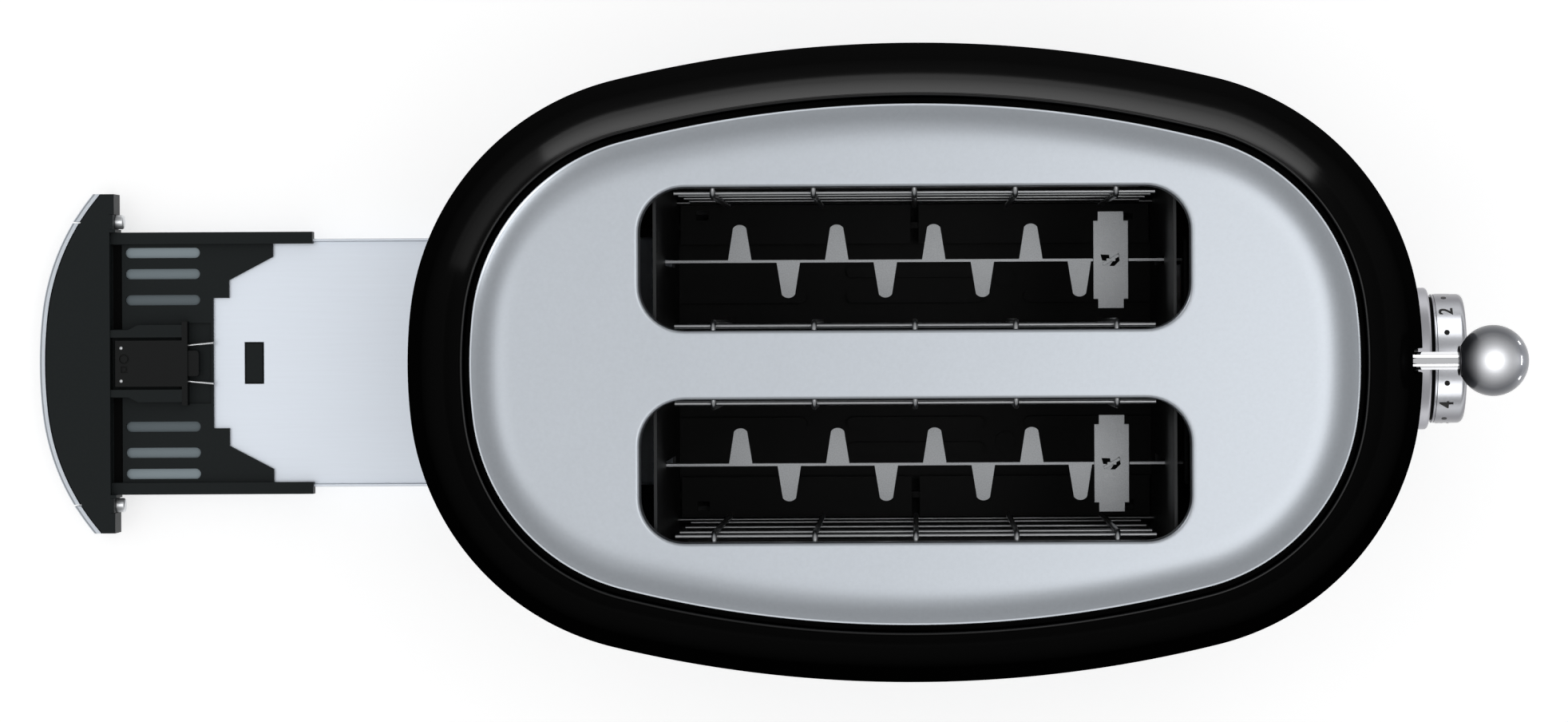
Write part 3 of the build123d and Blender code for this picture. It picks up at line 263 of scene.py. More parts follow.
# Corner points joined by straight lines, each corner turned on an arc of its own radius
def roundedProfile(corners, steps=6):
    points = []
    for i, corner in enumerate(corners):
        here = np.array(corner[:2], float)
        radius = corner[2] if len(corner) > 2 else 0
        if radius == 0 or i in (0, len(corners) - 1):
            points.append(here)
            continue
        before = np.array(corners[i - 1][:2], float) - here
        after = np.array(corners[i + 1][:2], float) - here
        before /= np.linalg.norm(before)
        after /= np.linalg.norm(after)
        half = np.arccos(np.clip(before @ after, -1, 1)) / 2
        middle = (before + after) / np.linalg.norm(before + after)
        centre = here + middle * radius / np.sin(half)
        start = here + before * radius / np.tan(half) - centre
        end = here + after * radius / np.tan(half) - centre
        for t in np.linspace(0, 1, steps + 1):
            step = start * (1 - t) + end * t
            points.append(centre + step / np.linalg.norm(step) * radius)
    return np.array(points)


# A copy of a CAD node with its triangles merged and its hard edges rounded by a Bevel
def bevelledNode(name, width, segments, material, sharpAngle=30):
    mesh = nodes[name].data.copy()
    mesh.name = name + "Rounded"
    bm = bmesh.new()
    bm.from_mesh(mesh)
    bmesh.ops.remove_doubles(bm, verts=bm.verts, dist=2e-6)
    flat = math.radians(0.5)
    bmesh.ops.dissolve_limit(bm, angle_limit=flat, verts=bm.verts, edges=bm.edges)
    bm.to_mesh(mesh)
    bm.free()
    mesh.materials.clear()
    piece = addObject(name + "Rounded", mesh)
    bevel = piece.modifiers.new("edges", "BEVEL")
    bevel.width = width
    bevel.segments = segments
    bevel.limit_method = "ANGLE"
    bevel.angle_limit = math.radians(sharpAngle)
    bevel.use_clamp_overlap = True
    mesh.shade_smooth()
    even = piece.modifiers.new("evenNormals", "WEIGHTED_NORMAL")
    even.weight = 100
    even.keep_sharp = True
    mesh.materials.append(material)
    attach(piece, nodes[name]["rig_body"])
    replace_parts(piece, name)


def cutPiece(piece, cutter):
    modifier = piece.modifiers.new("cut", "BOOLEAN")
    modifier.object = cutter
    modifier.operation = "DIFFERENCE"
    modifier.solver = "EXACT"
    bpy.context.view_layer.update()
    evaluated = piece.evaluated_get(bpy.context.evaluated_depsgraph_get())
    mesh = bpy.data.meshes.new_from_object(evaluated)
    piece.modifiers.clear()
    old = piece.data
    piece.data = mesh
    bpy.data.meshes.remove(old)
    bpy.data.objects.remove(cutter)
    mesh.set_sharp_from_angle(angle=math.radians(35))


# Straight prisms along X, each from a closed loop of (y, z) points, as one cutting object
def prismCutter(name, loops, start, end):
    vertices, faces = [], []
    for loop in loops:
        loop = np.asarray(loop, float)
        count, first = len(loop), len(vertices)
        for x in (start, end):
            vertices += [(x, y, z) for y, z in loop]
        for i in range(count):
            j = (i + 1) % count
            faces.append((first + i, first + j, first + count + j, first + count + i))
        faces.append([first + i for i in reversed(range(count))])
        faces.append([first + count + i for i in range(count)])
    mesh = bpy.data.meshes.new(name)
    mesh.from_pydata(vertices, [], faces)
    bm = bmesh.new()
    bm.from_mesh(mesh)
    bmesh.ops.recalc_face_normals(bm, faces=bm.faces)
    bm.to_mesh(mesh)
    bm.free()
    return addObject(name, mesh)


# A loop of (across, up) points: a circle, or an upright slot with small round corners
def circleLoop(across, up, radius, steps=64):
    turn = np.linspace(0, 2 * np.pi, steps, endpoint=False)
    return np.stack([across + radius * np.cos(turn), up + radius * np.sin(turn)], -1)


# Quarter arcs about the four corners of a rectangle, in turn
def cornerArcs(halfX, halfY, radius, steps):
    arcs = []
    for k, (sx, sy) in enumerate(((1, 1), (-1, 1), (-1, -1), (1, -1))):
        turn = np.linspace(k * np.pi / 2, (k + 1) * np.pi / 2, steps)
        x, y = sx * halfX + radius * np.cos(turn), sy * halfY + radius * np.sin(turn)
        arcs.append(np.stack([x, y], -1))
    return arcs


def slotLoopUpright(across, low, high, half, corner, steps=8):
    arcs = cornerArcs(half - corner, (high - low) / 2 - corner, corner, steps)
    return np.vstack(arcs) + (across, (low + high) / 2)


# The body's oval: half length, half width and the radii of its ends, sides and corners, in
# millimetres, at the widest level and at the rim. Everything between is in proportion to share
oval = dict(
    widest=(155.0, 98.0, 151.0, 388.7, 82.1),
    rim=(131.95, 78.1, 134.0, 347.0, 60.5),
    steps=(14, 46, 60),
)


# One row of points for each share and inset: eight tangent arcs, each cut into equal steps
def ovalRows(share, inset):
    share = np.atleast_1d(np.asarray(share, float))[:, None]
    inset = np.atleast_1d(np.asarray(inset, float))[:, None]
    sizes = [wide + share * (rim - wide) - inset for wide, rim in zip(oval["widest"], oval["rim"])]
    halfLength, halfWidth, endRadius, sideRadius, cornerRadius = sizes
    endX, sideY = halfLength - endRadius, halfWidth - sideRadius
    toEnd, toSide = endRadius - cornerRadius, sideRadius - cornerRadius
    gap = np.hypot(endX, sideY)
    alongGap = (toEnd**2 - toSide**2 + gap**2) / (2 * gap)
    offGap = np.sqrt(toEnd**2 - alongGap**2)
    unitX, unitY = -endX / gap, sideY / gap
    cornerX = endX + alongGap * unitX - offGap * unitY
    cornerY = alongGap * unitY + offGap * unitX
    low = np.arctan2(cornerY, cornerX - endX)
    high = np.arctan2(cornerY - sideY, cornerX)
    zero = np.zeros_like(low)
    endSteps, cornerSteps, sideSteps = oval["steps"]
    arcs = [
        (endX, zero, endRadius, -low, low, endSteps),
        (cornerX, cornerY, cornerRadius, low, high, cornerSteps),
        (zero, sideY, sideRadius, high, np.pi - high, sideSteps),
        (-cornerX, cornerY, cornerRadius, np.pi - high, np.pi - low, cornerSteps),
        (-endX, zero, endRadius, np.pi - low, np.pi + low, endSteps),
        (-cornerX, -cornerY, cornerRadius, np.pi + low, np.pi + high, cornerSteps),
        (zero, -sideY, sideRadius, np.pi + high, 2 * np.pi - high, sideSteps),
        (cornerX, -cornerY, cornerRadius, -high, -low, cornerSteps),
    ]
    xs, ys = [], []
    for centreX, centreY, radius, start, end, steps in arcs:
        angle = start + (end - start) * np.linspace(0, 1, steps, endpoint=False)
        xs.append(centreX + radius * np.cos(angle))
        ys.append(centreY + radius * np.sin(angle))
    return np.hstack(xs), np.hstack(ys)


# Rows of (share, inset, height) in millimetres as a surface round the body's centre line
def ovalSurface(rows):
    rows = np.asarray(rows, float)
    x, y = ovalRows(rows[:, 0], rows[:, 1])
    z = np.repeat(rows[:, 2:3], x.shape[1], 1)
    return np.stack([x, y, z], -1) * mm + (bodyX, 0, 0)


# Shell: three tangent arcs from foot to rim, a small bead, a lip turned down to a ledge
shell = dict(
    foot=20.0, widest=82.0, rim=186.0, lowerArc=230.0, upperArc=600.0, shoulderArc=40.0, wall=1.2,
    ledgeDepth=5.0, ledgeWidth=5.5, bead=0.6,
    bezelRadius=22.15, dialHeight=66.0, buttonRadius=4.8, buttonHeight=34.0, buttonPitch=17.0,
    leverSlot=(95.05, 169.35, 3.75, 1.5), holeReach=(125.0, 170.0), ledgeEdge=0.3, beadFoot=0.25,
    outerSteps=(22, 34, 44), innerSteps=(12, 14, 18), beadSteps=9,
)
rimInset = oval["widest"][0] - oval["rim"][0]


def shoulderPlace():
    reach = shell["upperArc"] - shell["shoulderArc"]
    dx, dz = rimInset - shell["upperArc"], shell["rim"] - shell["widest"]
    gap = math.hypot(dx, dz)
    along = (reach**2 - shell["shoulderArc"] ** 2 + gap**2) / (2 * gap)
    off = math.sqrt(reach**2 - along**2)
    ux, uz = dx / gap, dz / gap
    return shell["upperArc"] + along * ux - off * uz, shell["widest"] + along * uz + off * ux


shoulderX, shoulderZ = shoulderPlace()


# Inset and height along the profile, at a wall's depth inside the outer face
def profileRows(wall, steps):
    reach = shell["upperArc"] - shell["shoulderArc"]
    tilt = math.asin((shoulderZ - shell["widest"]) / reach)
    stopInset = rimInset - shell["wall"]
    foot = -math.asin((shell["widest"] - shell["foot"]) / (shell["lowerArc"] - wall))
    stop = math.acos((shoulderX - stopInset) / (shell["shoulderArc"] - wall))
    rows = []
    for radius, centreX, centreZ, start, end, count in (
        (shell["lowerArc"], shell["lowerArc"], shell["widest"], foot, 0, steps[0]),
        (shell["upperArc"], shell["upperArc"], shell["widest"], 0, tilt, steps[1]),
        (shell["shoulderArc"], shoulderX, shoulderZ, tilt, stop, steps[2]),
    ):
        angle = np.linspace(start, end, count, endpoint=centreX == shoulderX)
        outer = centreX - radius * np.cos(angle)
        inner = centreX - (radius - wall) * np.cos(angle)
        height = centreZ + (radius - wall) * np.sin(angle)
        rows.append(np.stack([outer / rimInset, inner - outer, height], -1))
    return np.vstack(rows)


def makeShell(material):
    bead, wall, width, edge = (shell[key] for key in ("bead", "wall", "ledgeWidth", "ledgeEdge"))
    ledge = shell["rim"] - shell["ledgeDepth"]
    outer = profileRows(0, shell["outerSteps"])
    turn = np.linspace(0, np.pi, shell["beadSteps"])
    beadInset, beadHigh = -bead - bead * np.cos(turn), shell["rim"] - bead + bead * np.sin(turn)
    crown = np.stack([np.ones(len(turn)), beadInset, beadHigh], -1)
    lip = [
        (1, 0, ledge + edge), (1, edge, ledge), (1, width, ledge),
        (1, width, ledge - wall), (1, -wall, ledge - wall),
    ]
    inner = profileRows(wall, shell["innerSteps"])[::-1]
    rows = np.vstack([outer, [(1, -wall, outer[-1, 2] + shell["beadFoot"])], crown, lip, inner])
    points = ovalSurface(rows)
    faces = gridFaces(len(rows), points.shape[1], closedRows=True)
    piece = newPiece("shellSkin", points, faces, "housing", material)
    pitch, height, radius = (
        shell[key] * mm for key in ("buttonPitch", "buttonHeight", "buttonRadius")
    )
    loops = [
        circleLoop(0, shell["dialHeight"] * mm, shell["bezelRadius"] * mm),
        slotLoopUpright(0, *(size * mm for size in shell["leverSlot"])),
    ] + [circleLoop(k * pitch, height, radius, 48) for k in (-1, 0, 1)]
    start, end = (bodyX + reach * mm for reach in shell["holeReach"])
    cutPiece(piece, prismCutter("shellHoles", loops, start, end))
    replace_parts(piece, "outer_shell")


# Top plate: skirt, rounded edge, shoulder falling on a power curve, flat top, rolled slot lips
plate = dict(
    gap=2.3, top=196.0, fall=4.2, shoulder=15.0, foot=181.0, edgeRadius=2.0, fallPower=3.2,
    wall=0.8, fallSteps=36, leastStep=0.15, slotLength=159.9, slotWidth=41.4, slotCorner=13.0,
    slotPitch=61.6, sideSteps=22, lip=1.1, lipFlat=0.5, collar=8.0, hem=0.5,
    # The last three size the black ring of painted shade in the gap round the skirt
    gapShadeInset=0.25, gapShadeWidth=1.9, gapShadeRise=0.35,
)


# A rounded rectangle as a loop of points, grown outwards by a margin
def slotLoop(centreY, margin, cornerSteps=14):
    corner = plate["slotCorner"]
    halfX, halfY = plate["slotLength"] / 2 - corner, plate["slotWidth"] / 2 - corner
    arcs = cornerArcs(halfX, halfY, corner + margin, cornerSteps)
    spread = np.linspace(0, 1, plate["sideSteps"])[1:-1, None]
    points = []
    for arc, following in zip(arcs, arcs[1:] + arcs[:1]):
        points += [arc, arc[-1] + (following[0] - arc[-1]) * spread]
    return np.vstack(points) + (0, centreY)


def makeTopPlate(material):
    top, fall, shoulder, power = (plate[key] for key in ("top", "fall", "shoulder", "fallPower"))
    gap, wall, lip = plate["gap"], plate["wall"], plate["lip"]
    reach = np.linspace(1, 0, plate["fallSteps"])
    fallRows = np.stack([gap + shoulder * (1 - reach), top - fall * reach**power], -1)
    run = 1
    corner = roundedProfile([
        (gap, plate["foot"]), (gap, top - fall, plate["edgeRadius"]),
        (gap + run, top - fall + run * power * fall / shoulder),
    ], 8)[:-1]
    profile = np.vstack([corner, fallRows[fallRows[:, 0] > corner[-1, 0] + plate["leastStep"]]])
    points = ovalSurface(np.column_stack([np.ones(len(profile)), profile]))
    bm = bmesh.new()

    def addGrid(grid):
        made = [bm.verts.new(p) for p in grid.reshape(-1, 3)]
        for face in gridFaces(*grid.shape[:2]):
            bm.faces.new([made[int(i)] for i in face])
        return made

    loops = [addGrid(points)[-points.shape[1] :]]
    lipRows = [(lip + plate["lipFlat"], top), (lip, top)]
    for t in np.linspace(0, np.pi / 2, 7)[1:]:
        lipRows.append((lip - lip * math.sin(t), top - lip + lip * math.cos(t)))
    lipRows += [(0, top - plate["collar"]), (wall, top - plate["collar"])]
    lipRows.append((wall, top - wall - plate["hem"]))
    for centreY in (plate["slotPitch"] / 2, -plate["slotPitch"] / 2):
        grid = []
        for margin, height in lipRows:
            loop = slotLoop(centreY, margin)
            grid.append(np.column_stack([loop, np.full(len(loop), height)]))
        grid = np.array(grid) * mm + (bodyX, 0, 0)
        loops.append(addGrid(grid)[: grid.shape[1]])
    edges = [bm.edges.get(pair) for loop in loops for pair in zip(loop, loop[1:] + loop[:1])]
    bmesh.ops.triangle_fill(bm, edges=edges, use_beauty=True, normal=(0, 0, 1))
    mesh = bpy.data.meshes.new("topPlateSkin")
    bm.to_mesh(mesh)
    bm.free()
    piece = dressPiece("topPlateSkin", mesh, "housing", material)
    if sum(p.normal.z * p.area for p in mesh.polygons) < 0:
        mesh.flip_normals()
    solid = piece.modifiers.new("wall", "SOLIDIFY")
    solid.thickness = wall * mm
    solid.offset = -1
    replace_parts(piece, "top_plate")


# Finishes. Each is a Principled shader with its own small pattern on Object coordinates
finishes = dict(
    gloss_black=dict(
        colour=(0.0008, 0.0008, 0.0008), roughness=0.5, specular=0.0, coat=0.9, coatRoughness=0.14,
        coatFacing=((0.05, 0.9), (0.20, 0.13), (0.36, 0.036), (0.60, 0.0)), grain=(2200, 0.35),
    ),
    satin_steel=dict(colour=(0.60, 0.64, 0.69), metallic=1, roughness=0.34, grain=(900, 0.10)),
    chrome=dict(colour=(0.86, 0.87, 0.89), metallic=1, roughness=0.06, grain=(1500, 0.03)),
    # ballChrome, dial_silver and bezelSilver darken to a dark edge colour along the facing: painted
    # shade round their rims
    ballChrome=dict(
        colour=(0.84, 0.85, 0.88), metallic=1, roughness=0.52,
        edgeShadeColour=(0.10, 0.105, 0.12), edgeShadeFacing=(0.0, 0.44),
        coat=0.7, coatRoughness=0.08, grain=(1500, 0.03),
    ),
    trayChrome=dict(colour=(0.58, 0.62, 0.67), metallic=1, roughness=0.30, grain=(1500, 0.03)),
    # Flat black for pieces that paint shade into gaps, a channel and open corners
    paintedShadeBlack=dict(colour=(0.003, 0.003, 0.003), roughness=0.8, specular=0.1, grain=(900, 0.2)),
    printBlack=dict(colour=(0.006, 0.006, 0.006), roughness=0.5, grain=(900, 0.2)),
    black_plastic=dict(
        colour=(0.013, 0.013, 0.0135), roughness=0.55, specular=0.35, grain=(1500, 0.2),
    ),
    rubber=dict(colour=(0.014, 0.014, 0.014), roughness=0.8, grain=(800, 0.3)),
    zinc_steel=dict(colour=(0.55, 0.56, 0.58), metallic=1, roughness=0.35, grain=(1200, 0.15)),
    cream_plastic=dict(colour=(0.62, 0.58, 0.48), roughness=0.5, grain=(1200, 0.15)),
    # galvanised and bright_sheet are much darker than bare sheet steel: painted shade of the body's
    # inside
    galvanised=dict(colour=(0.030, 0.031, 0.032), metallic=0.6, roughness=0.42, grain=(500, 0.25)),
    bright_sheet=dict(colour=(0.06, 0.06, 0.062), metallic=0.8, roughness=0.4, grain=(400, 0.2)),
    dark_steel=dict(colour=(0.10, 0.10, 0.11), metallic=1, roughness=0.35, grain=(1500, 0.1)),
    copper=dict(colour=(0.60, 0.30, 0.14), metallic=1, roughness=0.3, grain=(1500, 0.1)),
    board_brown=dict(colour=(0.20, 0.13, 0.06), roughness=0.5, grain=(700, 0.2)),
    dial_silver=dict(
        colour=(0.52, 0.53, 0.56), metallic=1, roughness=0.26,
        edgeShadeColour=(0.22, 0.22, 0.24), edgeShadeFacing=(0.28, 0.62), grain=(1500, 0.08),
    ),
    bezelSilver=dict(
        colour=(0.66, 0.66, 0.70), metallic=1, roughness=0.38,
        edgeShadeColour=(0.36, 0.36, 0.39), edgeShadeFacing=(0.25, 0.70), grain=(1500, 0.08),
    ),
    tray_steel=dict(
        colour=(0.74, 0.79, 0.86), metallic=0.5, roughness=0.5, grain=(700, 0.08),
        stretch=(0.05, 1, 1),
    ),
    tray_black=dict(
        colour=(0.0225, 0.0270, 0.0280), roughness=0.5, specular=0.10, grain=(1200, 0.2),
    ),
    latchBlack=dict(
        colour=(0.0065, 0.0075, 0.0078), roughness=0.45, specular=0.2, grain=(1200, 0.2),
    ),
    bright_screw=dict(colour=(0.84, 0.86, 0.88), metallic=0.8, roughness=0.4, grain=(1500, 0.1)),
    rack_steel=dict(colour=(0.66, 0.68, 0.70), metallic=0.7, roughness=0.5, grain=(2600, 0.8)),
    wire_steel=dict(colour=(0.50, 0.51, 0.52), metallic=1, roughness=0.3, grain=(1500, 0.15)),
    mica=dict(colour=(0.035, 0.033, 0.030), roughness=0.5, grain=(300, 0.3)),
    ribbon=dict(colour=(0.05, 0.05, 0.05), metallic=1, roughness=0.45, grain=(900, 0.2)),
)


# Tray steel darkened in three steps: painted shade under the tray's vent slots, darkest nearest the
# middle
for shade, colour in (
    ("shadedOuter", (0.42, 0.50, 0.54)), ("shadedMiddle", (0.30, 0.36, 0.39)),
    ("shadedInner", (0.19, 0.23, 0.25)),
):
    finishes[shade] = dict(finishes["tray_steel"], colour=colour, grain=(700, 0.1))
grainPattern = dict(
    fineDetail=3, broadScale=35, broadDetail=2, broadShare=0.35, bump=0.25, depth=0.02,
)


# Node group: fine grain. Puts out a value round 1 that shades the colour, and a small height
def makeGrainGroup():
    group = bpy.data.node_groups.new("fineGrain", "ShaderNodeTree")
    for name, kind, value in (
        ("Scale", "NodeSocketFloat", 900), ("Amount", "NodeSocketFloat", 0.2),
        ("Stretch", "NodeSocketVector", (1, 1, 1)),
    ):
        socket = group.interface.new_socket(name=name, in_out="INPUT", socket_type=kind)
        socket.default_value = value
    for name in ("Shade", "Height"):
        group.interface.new_socket(name=name, in_out="OUTPUT", socket_type="NodeSocketFloat")
    add, link = group.nodes.new, group.links.new
    inside, outside = add("NodeGroupInput"), add("NodeGroupOutput")
    place = add("ShaderNodeTexCoord")
    stretch = add("ShaderNodeVectorMath")
    stretch.operation = "MULTIPLY"
    link(place.outputs["Object"], stretch.inputs[0])
    link(inside.outputs["Stretch"], stretch.inputs[1])
    fine = add("ShaderNodeTexNoise")
    fine.inputs["Detail"].default_value = grainPattern["fineDetail"]
    link(stretch.outputs[0], fine.inputs["Vector"])
    link(inside.outputs["Scale"], fine.inputs["Scale"])
    broad = add("ShaderNodeTexNoise")
    broad.inputs["Scale"].default_value = grainPattern["broadScale"]
    broad.inputs["Detail"].default_value = grainPattern["broadDetail"]
    link(place.outputs["Object"], broad.inputs["Vector"])
    share = grainPattern["broadShare"]
    mix = mathNode(group, "MULTIPLY_ADD", broad.outputs["Fac"], share, fine.outputs["Fac"])
    centred = mathNode(group, "SUBTRACT", mix, (1 + share) / 2)
    shade = mathNode(group, "MULTIPLY_ADD", centred, inside.outputs["Amount"], 1)
    link(shade, outside.inputs["Shade"])
    link(fine.outputs["Fac"], outside.inputs["Height"])
    return group


grainGroup = makeGrainGroup()


def facingOf(tree):
    facing = tree.nodes.new("ShaderNodeLayerWeight")
    facing.inputs["Blend"].default_value = 0.5
    return facing.outputs["Facing"]


# The clear coat's weight along the facing: (facing, weight) stops
def fadeCoat(tree, stopRows):
    fade = tree.nodes.new("ShaderNodeValToRGB")
    stops = fade.color_ramp.elements
    while len(stops) < len(stopRows):
        stops.new(0.5)
    for stop, (place, weight) in zip(stops, stopRows):
        stop.position = place
        stop.color = (weight, weight, weight, 1)
    tree.links.new(facingOf(tree), fade.inputs["Fac"])
    return fade.outputs["Color"]


# Painted shade: a metal's colour, darkened towards its edge colour along the facing, standing in
# for the dark reflection round its rim
def fadeToEdgeShade(tree, finish):
    fade = tree.nodes.new("ShaderNodeMapRange")
    fade.interpolation_type = "SMOOTHSTEP"
    for end, value in zip(("From Min", "From Max"), finish["edgeShadeFacing"]):
        fade.inputs[end].default_value = value
    tree.links.new(facingOf(tree), fade.inputs["Value"])
    mix = tree.nodes.new("ShaderNodeMix")
    mix.data_type = "RGBA"
    middle, edge = [socket for socket in mix.inputs if socket.type == "RGBA"]
    middle.default_value = (*finish["colour"], 1)
    edge.default_value = (*finish["edgeShadeColour"], 1)
    tree.links.new(fade.outputs["Result"], mix.inputs["Factor"])
    return next(socket for socket in mix.outputs if socket.type == "RGBA")


def makeFinish(name, finish):
    material = bpy.data.materials.new(name)
    material.use_nodes = True
    tree = material.node_tree
    link = tree.links.new
    shader = tree.nodes["Principled BSDF"].inputs
    shader["Base Color"].default_value = (*finish["colour"], 1)
    shader["Metallic"].default_value = finish.get("metallic", 0)
    shader["Roughness"].default_value = finish["roughness"]
    shader["Specular IOR Level"].default_value = finish.get("specular", 0.5)
    if "coat" in finish:
        shader["Coat Roughness"].default_value = finish["coatRoughness"]
        shader["Coat Weight"].default_value = finish["coat"]
    if "coatFacing" in finish:
        link(fadeCoat(tree, finish["coatFacing"]), shader["Coat Weight"])
    grain = tree.nodes.new("ShaderNodeGroup")
    grain.node_tree = grainGroup
    grain.inputs["Scale"].default_value, grain.inputs["Amount"].default_value = finish["grain"]
    grain.inputs["Stretch"].default_value = finish.get("stretch", (1, 1, 1))
    tint = tree.nodes.new("ShaderNodeVectorMath")
    tint.operation = "SCALE"
    tint.inputs[0].default_value = finish["colour"]
    if "edgeShadeColour" in finish:
        link(fadeToEdgeShade(tree, finish), tint.inputs[0])
    link(grain.outputs["Shade"], tint.inputs["Scale"])
    link(tint.outputs[0], shader["Base Color"])
    rough = mathNode(tree, "MULTIPLY", grain.outputs["Shade"], finish["roughness"])
    link(rough, shader["Roughness"])
    bump = tree.nodes.new("ShaderNodeBump")
    bump.inputs["Strength"].default_value = grainPattern["bump"]
    bump.inputs["Distance"].default_value = grainPattern["depth"] * mm
    link(grain.outputs["Height"], bump.inputs["Height"])
    link(bump.outputs["Normal"], shader["Normal"])
    return material


materials = {name: makeFinish(name, finish) for name, finish in finishes.items()}
slotOf = {row["node"]: row["material_slot"] for row in frame["record"]["subparts"]}
for name, node in nodes.items():
    node.data.materials.clear()
    node.data.materials.append(materials[slotOf[name]])
print("finishes made")

makeShell(materials["gloss_black"])
print("shell made")
makeTopPlate(materials["satin_steel"])


# Painted shade: a flat black ring on the shell's ledge, round the plate's skirt, that darkens the
# gap between plate and shell
def makeGapShade():
    low, inset, wide = shell["rim"] - shell["ledgeDepth"], plate["gapShadeInset"], plate["gapShadeWidth"]
    rows = [(1, inset, low), (1, inset, low + plate["gapShadeRise"])]
    rows += [(1, inset + wide, low + plate["gapShadeRise"]), (1, inset + wide, low)]
    points = ovalSurface(rows)
    faces = gridFaces(len(rows), points.shape[1], closedRows=True)
    newPiece("plateSeal", points, faces, "housing", materials["paintedShadeBlack"])


makeGapShade()
print("top plate made")


# Lever: the ball is an arc turned about X, cut flat where it meets the collar. The solid rod has a
# head rodHead times as wide as the rod
lever = dict(ballSteps=48, edge=0.5, turnSteps=96, rodHead=1.4)


def makeLever():
    ballLow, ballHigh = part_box("ball_knob")
    collarLow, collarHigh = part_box("lever_collar")
    radius = (ballHigh.z - ballLow.z) / 2
    seat = (collarHigh.z - collarLow.z) / 2
    centre = (ballHigh.x - radius, 0, (ballLow.z + ballHigh.z) / 2)
    flat = math.asin(seat / radius)
    turn = np.linspace(np.pi - flat, 0, lever["ballSteps"])
    arc = np.stack([radius * np.cos(turn), radius * np.sin(turn)], -1)
    profile = np.vstack([(-radius * math.cos(flat), 0), arc])
    profile[-1, 1] = 0
    points, faces = latheSurface(profile, centre, steps=lever["turnSteps"])
    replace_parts(newPiece("ballKnob", points, faces, "lift", materials["ballChrome"]), "ball_knob")
    edge = lever["edge"] * mm
    for name, node, finish, share in (
        ("leverCollar", "lever_collar", "dark_steel", 1),
        ("leverRodSkin", "lever_rod", "chrome", lever["rodHead"]),
    ):
        low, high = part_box(node)
        thick, length = (high.z - low.z) / 2 / share, high.x - low.x
        profile = roundedProfile([(0, 0), (0, thick, edge), (length, thick, edge), (length, 0)])
        points, faces = latheSurface(profile, (low.x, 0, centre[2]), steps=lever["turnSteps"])
        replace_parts(newPiece(name, points, faces, "lift", materials[finish]), node)


makeLever()
print("lever made")

# Lift spring: a wire along a helix round the guide rod
spring = dict(radius=4.0, wire=0.6, pitch=2.6, travel=57.0, turnSteps=18, wireSteps=8)


def makeSpring():
    low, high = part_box("lift_spring")
    wire, radius = spring["wire"] / 2 * mm, spring["radius"] * mm
    rise = high.z - low.z - 2 * wire
    turns = rise / (spring["pitch"] * mm)
    along = np.linspace(0, 2 * np.pi * turns, int(turns * spring["turnSteps"]))[:, None]
    bend = np.linspace(0, 2 * np.pi, spring["wireSteps"], endpoint=False)
    reach = radius + wire * np.cos(bend)
    height = low.z + wire + rise * along / along[-1] + wire * np.sin(bend)
    points = np.stack([reach * np.cos(along), reach * np.sin(along), height], -1)
    points += ((low.x + high.x) / 2, (low.y + high.y) / 2, 0)
    rows, columns = points.shape[:2]
    caps = [list(range(columns)), list(range((rows - 1) * columns, rows * columns))]
    coil = newPiece(
        "liftSpringCoil", points, list(gridFaces(rows, columns)) + caps,
        nodes["lift_spring"]["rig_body"], materials["zinc_steel"],
    )
    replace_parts(coil, "lift_spring")
    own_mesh(coil)


makeSpring()
print("spring made")

# Dial: knob and bezel are turned about X. Millimetres from each one's rear face
dial = dict(
    gap=1.1, frontEdge=1.8, face=16.4, faceDepth=0.6, faceSlope=0.5, wall=2.0, hub=6.0,
    fineEdge=0.1, softEdge=0.3, deepEdge=0.5, grooveEdge=0.2,
    ringRise=0.35, ringWidth=0.9, ringSteps=(0.15, 0.5, 0.65), turnSteps=160,
    # The next two place the black ring of painted shade between bezel and knob
    gapShadeRadius=19.2, gapShadeReach=(0.3, 0.4),
    figureHeight=4.2, figureShare=0.69, figureCentre=3.8, figureRise=0.10, figureBold=0.09,
    firstAngle=-93.0, step=46.0, count=6, dotRadius=0.85, dotCentre=3.75,
    bezelEdge=1.0, bezelBore=17.5, bezelHole=3.0, groove=19.6, grooveDepth=0.8, grooveSlope=0.3,
)


def turnedPiece(name, rows, node, body, material):
    low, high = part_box(node)
    centre = (0, 0, (low.z + high.z) / 2)
    points, faces = latheSurface(roundedProfile(rows), centre, steps=dial["turnSteps"])
    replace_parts(newPiece(name, points, faces, body, material, sharpAngle=40), node)


